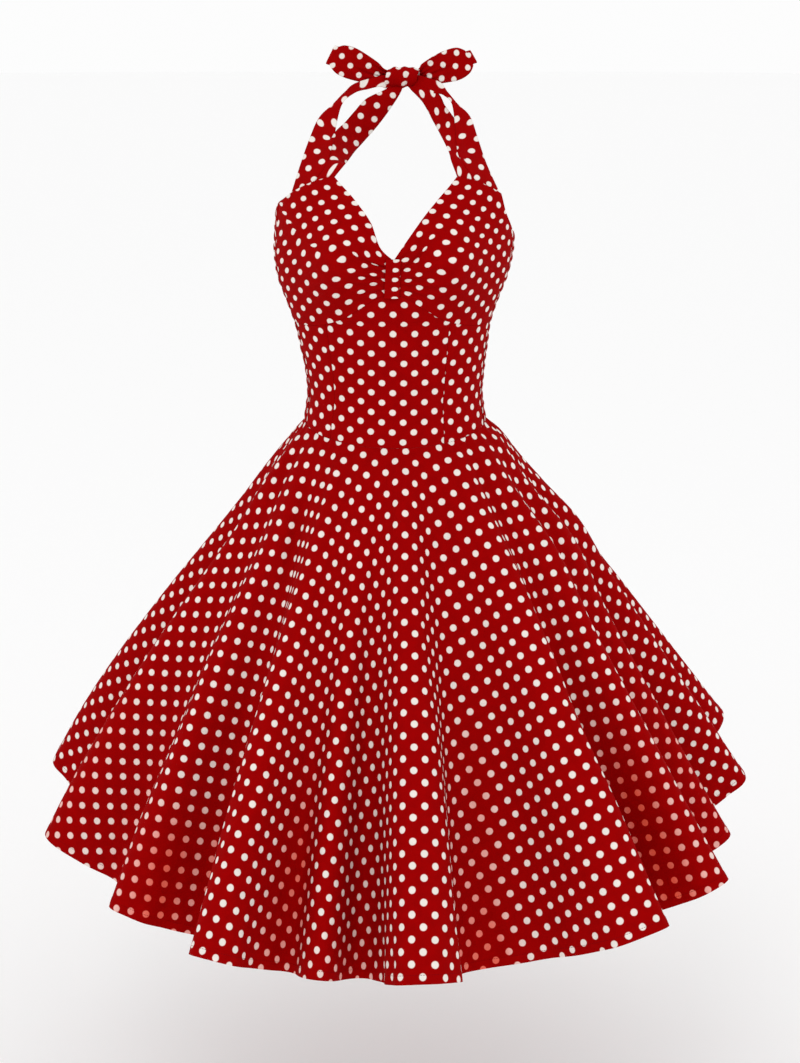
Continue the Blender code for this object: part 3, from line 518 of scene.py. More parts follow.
def cloth_shell(name, node, slot, points, pattern, thickness, lift=0, stitch=(0, 1),
                painted_shade=0, soft_edges=False, wrong=WRONG_SIDE):
    """Closed thin shell on a grid of points whose rows run up and columns to the right.

    It takes the place of a node of the CAD. lift moves the outside along the normals,
    pattern is the place on the flat cut in metres, stitch is (length along, distance from)
    the line of stitches, and painted_shade is 1 where deep folds get a painted red shade.
    """
    rows, columns = points.shape[:2]
    count = rows * columns
    lift, thickness = (np.broadcast_to(v, (rows, columns))[..., None]
                       for v in (lift, thickness))
    outer = points + grid_normals(points) * lift
    inner = outer - grid_normals(outer) * thickness
    index = np.arange(count).reshape(rows, columns)
    front = joined(index[:-1, :-1], index[:-1, 1:], index[1:, 1:], index[1:, :-1]).reshape(-1, 4)
    back = front[:, ::-1] + count
    rim = np.concatenate([index[0], index[1:, -1], index[-1, -2::-1], index[-2:0:-1, 0]])
    after = np.roll(rim, -1)
    edge = joined(after, rim, rim + count, after + count)
    faces = np.concatenate([front, back, edge])

    mesh = bpy.data.meshes.new(name)
    mesh.vertices.add(2 * count)
    mesh.vertices.foreach_set("co", np.concatenate([outer, inner]).ravel())
    mesh.loops.add(faces.size)
    mesh.loops.foreach_set("vertex_index", faces.ravel())
    mesh.polygons.add(len(faces))
    for key, values in (
            ("loop_start", np.arange(0, faces.size, 4)), ("loop_total", np.full(len(faces), 4)),
            ("material_index", np.repeat([0, 1, 0], [len(front), len(back), len(edge)])),
            ("use_smooth", np.ones(len(faces), bool))):
        mesh.polygons.foreach_set(key, values)
    mesh.update(calc_edges=True)
    flat_places = np.tile(pattern.reshape(-1, 2), (2, 1))[faces.ravel()]
    mesh.uv_layers.new(name="pattern").data.foreach_set("uv", flat_places.ravel())
    # The stitch attribute holds the line of stitches and the painted shade.
    places = np.empty((rows, columns, 3))
    places[..., :2], places[..., 2] = stitch, painted_shade
    attribute = mesh.attributes.new("stitch", "FLOAT_VECTOR", "POINT")
    attribute.data.foreach_set("vector", np.tile(places.ravel(), 2))
    if not soft_edges:
        on_rim = np.zeros(2 * count, int)
        on_rim[rim], on_rim[rim + count] = 1, 2
        ends = np.empty(2 * len(mesh.edges), np.int32)
        mesh.edges.foreach_get("vertices", ends)
        start, end = on_rim[ends.reshape(-1, 2)].T
        sharp = mesh.attributes.new("sharp_edge", "BOOLEAN", "EDGE")
        sharp.data.foreach_set("value", (start > 0) & (start == end))
    mesh.validate()
    mesh.materials.append(RIGHT_SIDE)
    mesh.materials.append(wrong)
    piece = bpy.data.objects.new(name, mesh)
    scene.collection.objects.link(piece)
    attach(piece, "root")
    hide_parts(node)
    return piece


def resample(grid, rows, columns):
    """A grid of points at other even counts, on smooth lines through it."""
    for count in (rows, columns):
        lines = smooth_path(grid.reshape(len(grid), -1), np.linspace(0, 1, count))
        grid = lines.reshape(count, -1, grid.shape[-1]).transpose(1, 0, 2)
    return grid


def flatten(points, fullness=1, strip=False, nodes=24, steps=1500):
    """Flat pattern of a grid of points, which keeps its lengths in every direction.

    fullness lengthens the upright lines, for cloth that is gathered there. The work starts
    from the grid as seen from in front of it, or for a strip from its lengths.
    """
    rows, columns = points.shape[:2]
    rough = resample(points, nodes, nodes)
    full = np.broadcast_to(fullness, points.shape[:2])[..., None]
    extra = resample(full, nodes, nodes).ravel() - 1
    index = np.arange(nodes * nodes).reshape(nodes, nodes)
    pairs = (  # of neighbours, and how upright the line between them is
        (index[:, :-1], index[:, 1:], 0), (index[:-1], index[1:], 1),
        (index[:-1, :-1], index[1:, 1:], 0.5), (index[:-1, 1:], index[1:, :-1], 0.5))
    first, second, upright = (np.concatenate(
        [np.broadcast_to(pair[k], pair[0].shape).ravel() for pair in pairs]) for k in range(3))
    solid = rough.reshape(-1, 3)
    length = spans(solid[first] - solid[second])
    length = length * (1 + upright * (extra[first] + extra[second]) / 2)
    if strip:
        flat = joined(arc_lengths(rough, 1), arc_lengths(rough, 0))
    else:
        facing = unit(grid_normals(rough).mean(axis=(0, 1)))
        across = (rough[:, 1:] - rough[:, :-1]).mean(axis=(0, 1))
        across = unit(across - facing * (across @ facing))
        flat = joined(rough @ across, rough @ np.cross(facing, across))
    flat = flat.reshape(-1, 2)
    links_each = np.bincount(np.concatenate([first, second]))[:, None]
    for _ in range(steps):
        gap = flat[second] - flat[first]
        size = spans(gap)
        move = gap * ((size - length) / np.maximum(size, 1e-9))[:, None]
        total = joined(*(np.bincount(first, part, len(flat))
                         - np.bincount(second, part, len(flat)) for part in move.T))
        flat = flat + total / links_each * 0.9
    return resample(flat.reshape(nodes, nodes, 2), rows, columns)


def lay_pattern(pattern, start, towards, angle):
    """Turns a flat pattern so that one point is at 0 and another at an angle from it."""
    along = pattern[towards] - pattern[start]
    turn = math.radians(angle) - math.atan2(along[1], along[0])
    cos, sin = math.cos(turn), math.sin(turn)
    return (pattern - pattern[start]) @ ((cos, sin), (-sin, cos))


def print_places(terms, rows):
    """Places in the print, from each term's factors for the dots along and across its rows."""
    along, across = (joined(*terms) @ np.array(row, float) for row in rows)
    half = math.sqrt(0.5) * DOT_PITCH
    return joined((along + across + 1) * half, (across - along) * half)


def declared_cloth(name, node, slot, points, pattern, thickness, held, fullness=1, **looks):
    """A shell of cloth with its flat cut as its pattern; fullness is not used."""
    piece = cloth_shell(name, node, slot, points, pattern, thickness, **looks)


# ---- skirt

skirt = Skirt()

SKIRT_COLUMNS = 470
SKIRT_ROWS = 92

SKIRT_CREASES = lengths((
    # place on the flat circle in degrees, lean in degrees from start to end, start and end
    # down from the waist, depth, width
    (-83, 3, 20, 210, 2.2, 10), (-70.5, 4, 10, 170, 2.6, 9), (-61, 2, 330, 560, 3, 17),
    (-52, 7, 45, 270, 3.4, 10), (-41, 3, 4, 120, 2.2, 8), (-34, -2, 400, 610, 2.8, 18),
    (-29.5, 2.5, 2, 160, 2, 9), (-16.5, 1, 30, 230, 2, 10), (-3.5, 1.5, 3, 130, 2, 8),
    (9, -1, 180, 360, 1.8, 14), (21.5, -1, 20, 220, 2.8, 10), (28.5, 1, 2, 100, 2, 8),
    (38, 3, 300, 540, 3, 18), (47.5, 3, 10, 150, 2.6, 9), (56, 5, 60, 260, 3.2, 10),
    (66, 1, 400, 600, 2.6, 16), (73, 2, 80, 300, 2.6, 11), (84, -3, 15, 190, 2.2, 10),
    (97, 3, 10, 200, 2.6, 10), (108, 2, 60, 290, 3, 11), (119, -3, 320, 560, 2.8, 18),
    (126, 4, 3, 140, 2.4, 9), (139, 3, 30, 230, 3, 10), (151, -2, 5, 120, 2.2, 8),
    (160, 2, 280, 520, 3, 17), (171, 1.5, 10, 190, 2.8, 9), (184, -2, 50, 260, 3, 11),
    (196, 2, 3, 130, 2.4, 8), (205, -3, 340, 590, 3, 18), (214, -4, 20, 220, 3, 10),
    (229, -2, 4, 160, 2.4, 9), (241, -5, 70, 300, 3.2, 11), (253, 2, 380, 600, 2.6, 17),
    (260, -3, 10, 180, 2.4, 9),
), 2)
SKIRT_RIDGE = 0.45  # as CUP_RIDGE
HEM_RIPPLE = 0.0024  # height of the small waves of the hem
HEM_RIPPLES = 83  # how many there are all round
HEM_RIPPLE_REACH = 0.09  # how far up from the hem they die away
WAIST_PUCKER = 0.001  # depth of the puckers at the waist seam
WAIST_PUCKERS = 45
PUCKER_PEAK = 0.004  # how far down they are deepest
PUCKER_REACH = 0.016  # and over what length they die away
SKIRT_PROUD = 0.0022  # how far the cloth stands outside the solid's middle
PROUD_START = 0.03  # how far down it reaches that
SKIRT_FLANKS = lengths((
    # where the skirt swells beyond its solid: place in degrees, width in degrees, down from
    # the waist, width along it, height
    (84, 34, 35, 35, 3.5), (84, 34, 190, 70, 11.5), (-84, 34, 85, 50, 4.5),
    (-84, 34, 330, 100, 1.5),
), 2)
PAINTED_FOLD_SHADES = (
    # painted shade, tinting the print red deep in a fold, as in the photo: place in degrees,
    # width in degrees, down from the waist where it starts and where it is full, strength
    (-80, 6, 0.36, 0.5, 0.5), (-54, 4.5, 0.44, 0.57, 0.95), (-11, 5, 0.57, 0.64, 0.6),
    (19.5, 2.6, 0.3, 0.42, 0.55), (54.5, 4.4, 0.34, 0.5, 1.00), (78, 6.5, 0.34, 0.48, 0.55),
)
PAINTED_SHADE_STRENGTH = 0.95  # of the same painted shade, laid by the depth of a fold
PAINTED_SHADE_DEPTHS = (0.036, 0.08)  # depth of the fold where it starts and where it is full
PAINTED_SHADE_DOWN = (0.24, 0.46)  # the same down from the waist
FOLD_COLUMNS = 29  # columns of the grid over which a fold's depth is taken


def skirt_relief(flat, down):
    """Small creases, hem ripples and waist puckers, as distance out of the skirt."""
    degrees, radius = np.degrees(flat), skirt.waist_radius + down
    relief = SKIRT_PROUD
    for place, spread, centre, width, height in SKIRT_FLANKS:
        relief = relief + (height * bell(degrees_off(degrees, place), spread)
                           * bell(down - centre, width))
    relief = relief * ease(down, 0, PROUD_START)
    for place, lean, start, end, depth, width in SKIRT_CREASES:
        share = np.clip((down - start) / (end - start), 0, 1)
        off = np.radians(degrees_off(degrees, place + lean * share)) * radius
        fade = ease(share, 0, 0.25) * (1 - ease(share, 0.45, 1))
        relief += depth * fade * crease(off, width, SKIRT_RIDGE)
    waves = (np.sin(HEM_RIPPLES * flat + 2.3 * np.sin(7 * flat))
             * (0.6 + 0.4 * np.sin(11 * flat + 1)))
    relief += HEM_RIPPLE * waves * (1 - ease(SKIRT_LENGTH - down, 0, HEM_RIPPLE_REACH))
    gathers = (np.sin(WAIST_PUCKERS * flat + 1.9 * np.sin(8 * flat)) - 0.6
               + 0.5 * np.sin(19 * flat))
    near_waist = ease(down, 0, PUCKER_PEAK) * bell(down - PUCKER_PEAK, PUCKER_REACH)
    return relief + WAIST_PUCKER * gathers * near_waist


def painted_fold_shade(points, flat, down):
    """Painted shade: 1 where the print is tinted red, deep behind the crest of a fold on its
    left.
    """
    from_axis = spans(points[..., :2])
    padded = np.pad(from_axis, ((0, 0), (FOLD_COLUMNS, 0)), mode="edge")
    crests = np.max([padded[:, k:k + SKIRT_COLUMNS] for k in range(FOLD_COLUMNS + 1)], axis=0)
    patches = 0.5 + 0.5 * np.sin(9 * flat + 2 * np.sin(5 * flat) + 14 * down)
    painted_shade = (PAINTED_SHADE_STRENGTH * ease(crests - from_axis, *PAINTED_SHADE_DEPTHS) * ease(down, *PAINTED_SHADE_DOWN)
             * (0.35 + 0.65 * patches))
    for place, width, start, full, strength in PAINTED_FOLD_SHADES:
        here = strength * bell(np.degrees(flat) - place, width) * ease(down, start, full)
        painted_shade = np.maximum(painted_shade, here)
    return painted_shade


def skirt_half(name, node, middle, print_place):
    down = np.linspace(SKIRT_LENGTH, SEAM_GAP / 2, SKIRT_ROWS)
    near_hem = SKIRT_LENGTH - HEM_ROWS
    down = np.concatenate([near_hem, down[down < near_hem[-1] - HEM_ROW_GAP]])[:, None]
    radius = skirt.waist_radius + down
    aside = np.linspace(-math.pi / 2, math.pi / 2, SKIRT_COLUMNS) * (
        1 - SEAM_GAP / (math.pi * radius))
    flat, down = middle + aside, down + 0 * aside
    points = skirt.points(flat, down)
    from_hem = SKIRT_LENGTH - down
    turned = 1 - ease(from_hem, HEM_TURN - HEM_EDGE, HEM_TURN + HEM_EDGE)
    pattern = joined(radius * np.sin(aside), -radius * np.cos(aside)) + print_place
    stitch = joined(radius * flat, from_hem - HEM_TURN + HEM_STITCH)
    # The print gets painted shade deep in the folds.
    piece = cloth_shell(name, node, "skirt_cloth", points, pattern, CLOTH * (1 + turned),
                        lift=CLOTH / 2 * turned + skirt_relief(flat, down), stitch=stitch,
                        painted_shade=painted_fold_shade(points, flat, down))


skirt_half("front_skirt", "skirt_front", 0, (0, 0))
skirt_half("back_skirt", "skirt_back", math.pi, (0.007, 0.004))

# ---- bodice

# Azimuths of the midriff's seams at two heights, between which they are straight
LEFT_SEAM, RIGHT_SEAM = table_rows(PRINCESS_SEAMS, (-0.44, -0.29)).T
SIDE_SEAM = np.full(2, SIDE_AZIMUTH)


def midriff_panel(name, node, left, right, columns, print_place, rows=60):
    inset = math.degrees(SEAM_CLEAR / WAIST_HALF_WIDTH)
    left, right = left + inset, right - inset
    across = np.linspace(0, 1, columns)[None, :]
    up = np.linspace(0, 1, rows)[:, None]
    low_degrees, top_degrees = (left[k] + (right[k] - left[k]) * across for k in (0, 1))
    azimuth = np.radians(low_degrees + (top_degrees - low_degrees) * up)
    bottom = waist_heights(np.radians(low_degrees)) + SEAM_GAP / 2
    top = underbust_heights(top_degrees) - SEAM_GAP / 2
    height = bottom + (top - bottom) * up
    points = torso_points(azimuth, height)
    anchor, middle = (round(mark * (count - 1))
                      for mark, count in zip(MIDRIFF_MARK, (rows, columns)))
    pattern = lay_pattern(flatten(points), (anchor, middle), (0, middle), -90)
    pattern = pattern * MIDRIFF_STRETCH + print_place
    # A soft fold runs under the bust, from the left side to the centre.
    x, from_fold = points[..., 0], height - UNDERBUST_FOLD_HEIGHT
    fold = (bell(from_fold, UNDERBUST_FOLD_WIDTH)
            * ease(x, -0.1, -0.075) * (1 - ease(x, 0.03, 0.06)))
    squash = ease(from_fold, -UNDERBUST_HIDDEN, UNDERBUST_HIDDEN) - 0.5
    pattern[..., 1] += squash * fold * UNDERBUST_HIDDEN
    depth, width = SEAM_GROOVE
    from_seam = np.minimum(across, 1 - across) * arc_lengths(points, 1)[:, -1:]
    groove = depth * bell(from_seam, width)
    declared_cloth(name, node, "bodice_cloth", points, pattern, FACED, "stretched",
                   lift=-groove - UNDERBUST_FOLD_DEPTH * fold)


midriff_panel("midriff", "midriff_front", LEFT_SEAM, RIGHT_SEAM, 80, (0, 0.01379))
midriff_panel("side_panel_left", "midriff_side_left", -SIDE_SEAM, LEFT_SEAM, 50, (0.004, 0.006))
midriff_panel("side_panel_right", "midriff_side_right", RIGHT_SEAM, SIDE_SEAM, 60,
              (-0.003, 0.009))


def cup_places(neckline, armhole, along, up):
    """Azimuth in degrees and height of places on a cup between its edges, as in the CAD."""
    azimuth = np.interp(up, (0, SIDE_SEAM_SHARE, 1),
                        (SIDE_AZIMUTH, SIDE_AZIMUTH, STRAP_INNER_AZIMUTH))
    height = np.where(azimuth > STRAP_OUTER_AZIMUTH, table_values(armhole, azimuth),
                      table_values(STRAP_EDGE, azimuth))
    height += np.interp(up, (0, SIDE_SEAM_SHARE), (UNDERBUST_EDGE[-1, 1] - armhole[-1, 1], 0))
    side = joined(azimuth, height)
    bottom_azimuth, top_azimuth = SIDE_AZIMUTH * along, STRAP_INNER_AZIMUTH * along
    bottom = joined(bottom_azimuth, underbust_heights(bottom_azimuth))
    top = joined(top_azimuth, table_values(neckline, top_azimuth))
    up, along = up[..., None], along[..., None]
    corners = UNDERBUST_EDGE[-1] + (STRAP_EDGE[0] - UNDERBUST_EDGE[-1]) * up
    places = bottom + (top - bottom) * up + (side - corners) * along
    return places[..., 0], places[..., 1]


def bent(distance, reach=0.09):
    """Square of a distance, which goes on straight beyond its reach."""
    far = reach * (2 * np.abs(distance) - reach)
    return np.where(np.abs(distance) < reach, distance ** 2, far)


def cup(name, node, side, neckline, armhole, print_rows, creases):
    even = np.linspace(0, 1, CUP_GRID)
    along, up = np.meshgrid(even, even)
    azimuth, height = cup_places(neckline, armhole, along, up)
    clear = math.degrees(SEAM_CLEAR / BUST_HALF_WIDTH)
    azimuth = np.clip(azimuth, clear, SIDE_AZIMUTH - clear)
    height = height + SEAM_GAP * (0.5 - up)
    if side < 0:
        azimuth, height, along = (v[:, ::-1] for v in (azimuth, height, along))
    points = torso_points(side * np.radians(azimuth), height)
    # Gathers run out from the centre and die away.
    fade = np.clip((along - 0.05) / 0.1, 0, 1) * np.clip(1 - along / 0.75, 0, 1) ** 1.5
    sway = 0.25 * np.sin(5.5 * up + side)
    ripples = np.cos(FULL_TURN * (CUP_RIPPLES * up + sway) + 6 * side * along)
    lift = CUP_RIPPLE * fade * np.sin(math.pi * up) ** 0.5 * (1 - ripples)
    fullness = 1 + CUP_FULLNESS * (1 - ease(along, 0, 0.4))
    hidden = 0
    for place, tilt, depth, width, reach, extra in creases:
        offset = up - place - tilt * along
        widening = width * (1 + 1.5 * along)
        fade = ease(along, 0.03, 0.09) * (1 - ease(along, 0.35 * reach, reach))
        lift = lift + depth * fade * crease(offset, widening, CUP_RIDGE)
        hidden = hidden + extra * fade * (ease(offset, -widening, widening) - 0.5)
    low_end, high_end = (int(CUP_GRID * share) for share in CUP_CUT_ENDS)
    if side < 0:
        low_end, high_end = CUP_GRID - 1 - low_end, CUP_GRID - 1 - high_end
    cut = lay_pattern(flatten(points, fullness, nodes=12, steps=400), (-1, low_end),
                      (-1, high_end), 90)
    cut = cut + unit(np.gradient(cut, axis=0)) * hidden[..., None]
    # The cloth is on the bias, so the print's rows stretch and lean over the cup.
    away, rise = cut[..., 0], cut[..., 1]
    pattern = print_places((1 + 0 * away, away, rise, bent(away), away * rise, bent(rise)),
                           print_rows)
    declared_cloth(name, node, "bodice_cloth", points, pattern, FACED, "gathered", 1.2,
                   lift=lift)


# Dots passed along and across the print's rows: at the neckline's lower end, per metre away
# from it, per metre up along it, and how these bend over the cup.
cup("bust_cup_left", "cup_left", -1, NECKLINE_LEFT, ARMHOLE_LEFT,
    ((5.36, -31, -51, -102, -5, -66), (-0.12, -69, 6, -140, 18, -43)), (
        # up, tilt, depth, width, reach, hidden cloth
        (0.71, -0.2, 0.0017, 0.02, 0.55, 0.0055), (0.37, 0, 0.0015, 0.02, 0.34, 0.005),
        (0.08, 0.45, 0.0013, 0.02, 0.32, 0.0045), (0.55, -0.04, 0.0012, 0.024, 0.62, 0),
        (0.22, 0.24, 0.0011, 0.022, 0.52, 0),
    ))
cup("bust_cup_right", "cup_right", 1, NECKLINE_RIGHT, ARMHOLE_RIGHT,
    ((6.46, 26, -52, -61, 43, -66), (-0.46, 62, 8.6, -86, 40, -58)), (
        (0.55, 0.7, 0.0018, 0.02, 0.5, 0.0055), (0.36, 0, 0.0014, 0.02, 0.36, 0.004),
        (0.1, 0.22, 0.0013, 0.02, 0.32, 0.0045), (0.83, 0.1, 0.001, 0.024, 0.4, 0),
        (0.22, 0.16, 0.0012, 0.022, 0.58, 0),
    ))


def gather_loop(rows=50, columns=16):
    across, height = np.meshgrid(np.linspace(-1, 1, columns), np.linspace(*LOOP_HEIGHTS, rows))
    half_width = table_rows(TORSO_SECTIONS, height)[..., 1]
    points = torso_points(np.arcsin(across * LOOP_HALF_WIDTH / half_width), height)
    lift = 2 * SEAM_GAP + FACED + LOOP_SWELL * (1 - across ** 2)
    # The loop is gathered lengthwise, so its column of dots stands close.
    turned = joined(across * LOOP_HALF_WIDTH - LOOP_DOTS_X,
                    (height - LOOP_DOT_HEIGHT) * LOOP_GATHER)
    pattern = (turned @ ((1, 1), (-1, 1)) + (0, DOT_PITCH)) * math.sqrt(0.5)
    declared_cloth("gather_loop", "centre_loop", "bodice_cloth", points, pattern, FACED,
                   "gathered", lift=lift)


gather_loop()


def shirred_back(rows=115, columns=410):
    side = math.radians(SIDE_AZIMUTH + 0.1)
    across, up = np.meshgrid(np.linspace(0, 1, columns), np.linspace(0, 1, rows))
    azimuth = side + (FULL_TURN - 2 * side) * across
    bottom = waist_heights(azimuth) + SEAM_GAP / 2
    top = table_values(BACK_EDGE, np.degrees(azimuth))
    height = bottom + (top - bottom) * up
    points = torso_points(azimuth, height)
    around = arc_lengths(points, 1)
    # Every strip between two elastic threads puffs out and ruffles in its own way.
    strip = up * SHIRR_PUFFS
    puff = np.abs(np.sin(math.pi * strip)) ** 0.8
    own = np.sin(2.4 * np.floor(strip) + 1.3 * np.sin(5.1 * np.floor(strip)))
    sway = 2.2 * np.sin(31 * around + 2 * own) + 1.4 * np.sin(67 * around + 5 * own)
    ruffle = np.sin(FULL_TURN * around / SHIRR_RUFFLE + sway + 1.1 * own)
    coarse = np.sin(FULL_TURN * around / (2.7 * SHIRR_RUFFLE) + 1.5 * sway)
    lift = SHIRR_LIFT * puff * (0.62 + 0.24 * ruffle + 0.14 * coarse) + 0.0003 * ruffle
    from_seam = np.minimum(around, around[:, -1:] - around)
    lift = lift * (0.25 + 0.75 * ease(from_seam, 0, 0.05))
    pattern = joined(around + 0.0004 * ruffle, height) * SHIRR_PRINT
    declared_cloth("shirred_back", "back_bodice", "shirred_cloth", points, pattern, CLOTH,
                   "gathered", 1.3, lift=lift)


shirred_back()

# ---- halter and bow


def strap_base(side, outer_azimuth, inner_azimuth, share):
    """Points where a ribbon starts, just under the cup's surface near its upper edge."""
    azimuth = outer_azimuth + (inner_azimuth - outer_azimuth) * share
    height = table_values(STRAP_EDGE, azimuth) - STRAP_TUCK
    turn = side * np.radians(azimuth)
    step = 0.002
    around = torso_points(turn + step, height) - torso_points(turn - step, height)
    upward = torso_points(turn, height + step) - torso_points(turn, height - step)
    return torso_points(turn, height) - unit(np.cross(around, upward)) * STRAP_UNDER


def rounded_thickness(place):
    """Thickness of a ribbon at shares of the way across it, thin at its rounded edges."""
    return RIBBON_EDGE + (RIBBON - RIBBON_EDGE) * (1 - np.abs(2 * place - 1) ** 8) ** 0.5


def halter_ribbon(name, side, stations, outer_azimuth, inner_azimuth, lap_inner, opening,
                  print_rows, rows=110, columns=22):
    share, across = np.linspace(0, 1, rows), np.linspace(0, 1, columns)
    base = strap_base(side, outer_azimuth, inner_azimuth, across)
    outer_edge, inner_edge = (
        smooth_path(np.concatenate([base[[end]], stations[:, end]]), share) for end in (0, -1))
    width = spans(inner_edge - outer_edge)
    # The band and the tie lap over each other, but for the opening between them.
    start, end = opening
    apart = ease(share, start - 0.06, start + 0.06) * (1 - ease(share, end - 0.08, end + 0.06))
    lapped = RIBBON_LAP * ease(share, 0.08, 0.25) * (1 - ease(share, 0.25, start + 0.06))
    if lap_inner:
        lapped = lapped + KNOT_LAP * ease(share, end - 0.05, end + 0.08)
    away, facing = RIBBON_SIDE_GAP * apart / width, (RIBBON_SIDE_GAP * apart - lapped) / width
    outer_margin, inner_margin = (away, facing) if lap_inner else (facing, away)
    place = outer_margin[:, None] + (1 - outer_margin - inner_margin)[:, None] * across
    points = outer_edge[:, None] + (inner_edge - outer_edge)[:, None] * place[..., None]
    sag = base - (base[0] + (base[-1] - base[0]) * across[:, None])
    points = points + sag * (np.clip(1 - 3 * share, 0, 1) ** 2)[:, None, None]
    if side > 0:
        points, place = points[:, ::-1], place[:, ::-1]
    started = ease(share, 0, 0.05)[:, None]
    thickness = RIBBON_EDGE + (rounded_thickness(across) - RIBBON_EDGE) * started
    middle = columns // 2
    cut = lay_pattern(flatten(points, strip=True), (0, middle), (rows // 2, middle), 90)
    aside, along = cut[..., 0], cut[..., 1]
    pattern = print_places((1 + 0 * along, aside, along, along ** 2), print_rows)
    rise = 0
    if lap_inner:
        rise = LAP_RISE * np.clip(lapped / RIBBON_LAP, 0, 1)[:, None] * ease(place, 0.6, 0.85)
    declared_cloth(name, "halter_" + name, "halter_cloth", points, pattern, thickness, "hung",
                   lift=thickness / 2 + rise, soft_edges=True, wrong=RIGHT_SIDE)


# The opening is given as shares of the way up, and the print as the dots passed along and
# across its rows: at the lower end's middle, per metre across, per metre up, and how they bend.
BAND, TIE = (STRAP_OUTER_AZIMUTH, STRAP_SPLIT_AZIMUTH, True), (
    STRAP_SPLIT_AZIMUTH, STRAP_INNER_AZIMUTH, False)
halter_ribbon("band_left", -1, BAND_LEFT, *BAND, (0.36, 0.8),
              ((-3.2, 42, 36, -15), (4.15, 17, -48, 85)))
halter_ribbon("band_right", 1, BAND_RIGHT, *BAND, (0.48, 0.71),
              ((3.4, 40, -40, 35), (4.35, -14.5, -48, 75)))
halter_ribbon("tie_left", -1, TIE_LEFT, *TIE, (0.36, 0.8),
              ((6, 43, -22, -50), (-2.4, 36, 5, 90)))
halter_ribbon("tie_right", 1, TIE_RIGHT, *TIE, (0.48, 0.71),
              ((4.1, -19, -27, -10), (3.05, 69, -19, -4)))

PLEATS = (
    # place across the loop, width, depth, reach along it
    (0.22, 0.05, 0.003, 0.7), (0.45, 0.045, 0.0038, 0.85),
    (0.63, 0.04, 0.003, 0.6), (0.82, 0.05, 0.0026, 0.75),
)


def bow_loop(name, node, side, stations, tip_rounding, print_turn, print_place):
    """Flat loop of ribbon: out along its front, round the tip and back behind."""
    tops, bottoms = (stations[:, k:k + 2] @ ((1, 0, 0), (0, 0, 1)) for k in (0, 2))
    outward = unit(tops[-1] + bottoms[-1] - tops[0] - bottoms[0])
    layer, turn_steps, columns = 60, 16, 30
    share = np.linspace(0, 1, layer)
    angles = np.linspace(-math.pi / 2, math.pi / 2, turn_steps + 2)[1:-1]
    out = np.concatenate([share, np.ones(turn_steps), share[::-1]])
    half_depth = smooth_path(stations[:, 4:], out)[:, 0]
    swing = np.concatenate([-np.ones(layer), np.sin(angles), np.ones(layer)])
    reach = np.concatenate([np.zeros(layer), np.cos(angles), np.zeros(layer)])
    top, bottom = smooth_path(tops, out), smooth_path(bottoms, out)
    place = np.linspace(0, 1, columns)
    near_tip = np.clip((out - 0.55) / 0.45, 0, 1)
    narrow = 1 - tip_rounding * (1 - np.sqrt(1 - near_tip ** 2))
    across = 0.5 + (place[:, None] - 0.5) * narrow
    points = (bottom + (top - bottom) * across[..., None]
              + (0, 1, 0) * (BOW_DEPTH + half_depth * swing)[:, None]
              + outward * (half_depth * reach)[:, None])
    if side < 0:
        points, out = points[:, ::-1], out[::-1]
    thickness = rounded_thickness(place)[:, None]
    pattern = lay_pattern(flatten(points, strip=True), (columns // 2, 0),
                          (columns // 2, layer), print_turn) * BOW_PRINT + print_place
    # Pleats run out of the knot and die away along the loop.
    fan = place[:, None] + 0.06 * np.sin(5 * out + side)
    pleat = 0
    for centre, width, depth, end in PLEATS:
        pleat = pleat - depth * bell(fan - centre, width) * (1 - ease(out, 0.25, end))
    declared_cloth(name, node, "halter_cloth", points, pattern, thickness, "folded",
                   lift=thickness / 2 + pleat, soft_edges=True, wrong=RIGHT_SIDE)


bow_loop("bow_left", "bow_loop_left", -1, BOW_LEFT, 0.16, -15, (0.0057, 0.019))
bow_loop("bow_right", "bow_loop_right", 1, BOW_RIGHT, 0.42, -20, (0.0092, 0.0184))


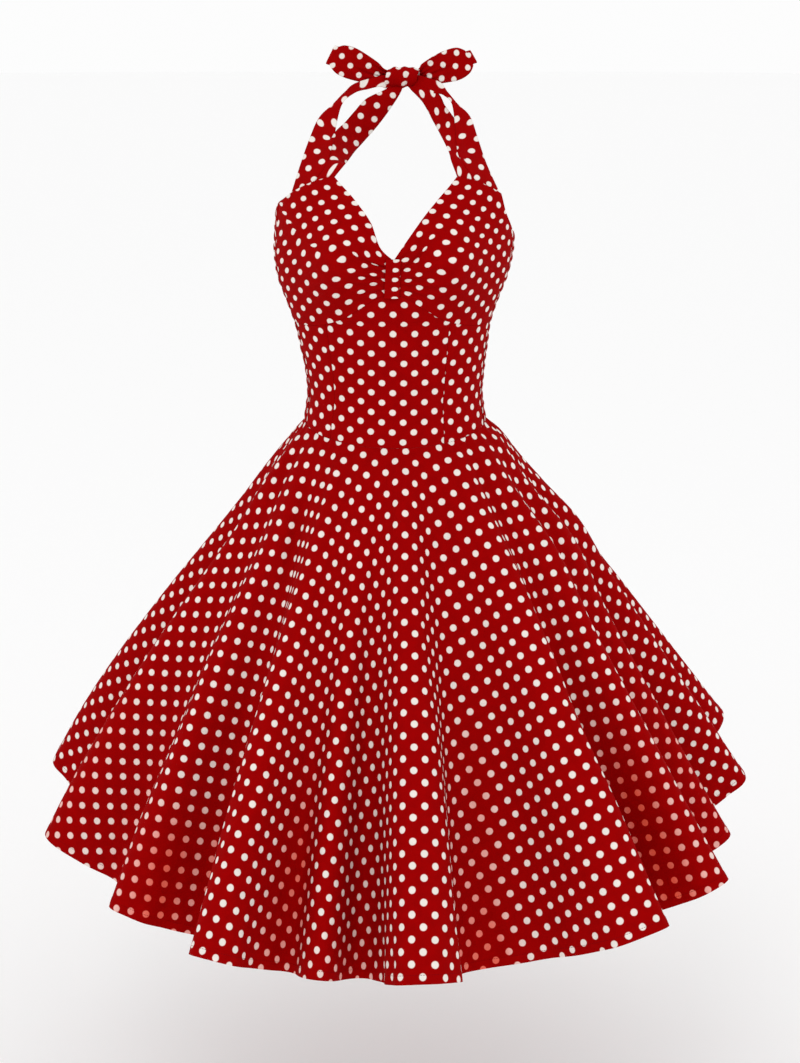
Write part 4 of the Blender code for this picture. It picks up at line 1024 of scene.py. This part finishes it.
def knot(rows=60, columns=90):
    across, turn = np.meshgrid(np.linspace(-1, 1, columns), np.linspace(0, FULL_TURN, rows))
    sin, cos = np.sin(turn), np.cos(turn)
    centre_x, centre_y, centre_z = KNOT_CENTRE
    half_x, half_y, half_z = KNOT_HALF_SIZE
    folds = (np.sin(3.3 * across * math.pi + 0.9 * sin + 0.4)
             + 0.5 * np.sin(7.1 * across + 1.7 * cos))
    size = (1 - KNOT_SLIMMING * np.abs(across) ** 3) * (1 + KNOT_FOLD * folds)
    tall, deep = (np.sign(wave) * np.abs(wave) ** KNOT_SQUARENESS * size for wave in (sin, cos))
    points = joined(centre_x + across * half_x + 0.003 * sin, centre_y - half_y * deep,
                    centre_z + half_z * tall)
    # The print's rows go round the knot, up its front and over its top.
    pattern = joined(across * half_x * 1.2 - 0.006, turn * 0.015 + 0.0098)
    declared_cloth("knot", "bow_knot", "halter_cloth", points, pattern, KNOT_CLOTH, "folded",
                   wrong=RIGHT_SIDE)


knot()

# ---- studio

FLOOR_HEIGHT = -1.5
FLOOR_RADII = (0.5, 60)
FLOOR_LOOKS = {"Base Color": (0.98, 0.98, 0.98, 1), "Roughness": 0.95,
               "Specular IOR Level": 0.05}
WORLD_STRENGTH = 0.98
KEY_PLACE, KEY_TARGET = Vector((-0.5, -2.6, 2.3)), Vector((0, 0, -0.6))
KEY_SIZE, KEY_POWER = 1.2, 10


def pale_floor(count=96):
    """Wide pale floor, on which every view ends in a plain horizon."""
    turns = np.linspace(0, FULL_TURN, count, endpoint=False)
    corners = [(radius * math.cos(turn), radius * math.sin(turn), FLOOR_HEIGHT)
               for radius in FLOOR_RADII for turn in turns]
    faces = [tuple(range(count))]
    faces += [(k, k + count, (k + 1) % count + count, (k + 1) % count) for k in range(count)]
    mesh = bpy.data.meshes.new("floor")
    mesh.from_pydata(corners, [], faces)
    material = bpy.data.materials.new("pale_floor")
    material.use_nodes = True
    inputs = material.node_tree.nodes["Principled BSDF"].inputs
    for key, value in FLOOR_LOOKS.items():
        inputs[key].default_value = value
    mesh.materials.append(material)
    floor = bpy.data.objects.new("floor", mesh)
    scene.collection.objects.link(floor)


pale_floor()

key_data = bpy.data.lights.new("key", "AREA")
key_data.shape = "DISK"
key_data.size = KEY_SIZE
key_data.energy = KEY_POWER
key = bpy.data.objects.new("key", key_data)
scene.collection.objects.link(key)
key.location = KEY_PLACE
key.rotation_euler = (KEY_TARGET - KEY_PLACE).to_track_quat("-Z", "Y").to_euler()

world = bpy.data.worlds.new("studio")
scene.world = world
world.use_nodes = True
background = world.node_tree.nodes["Background"]
background.inputs["Color"].default_value = (1, 1, 1, 1)
background.inputs["Strength"].default_value = WORLD_STRENGTH
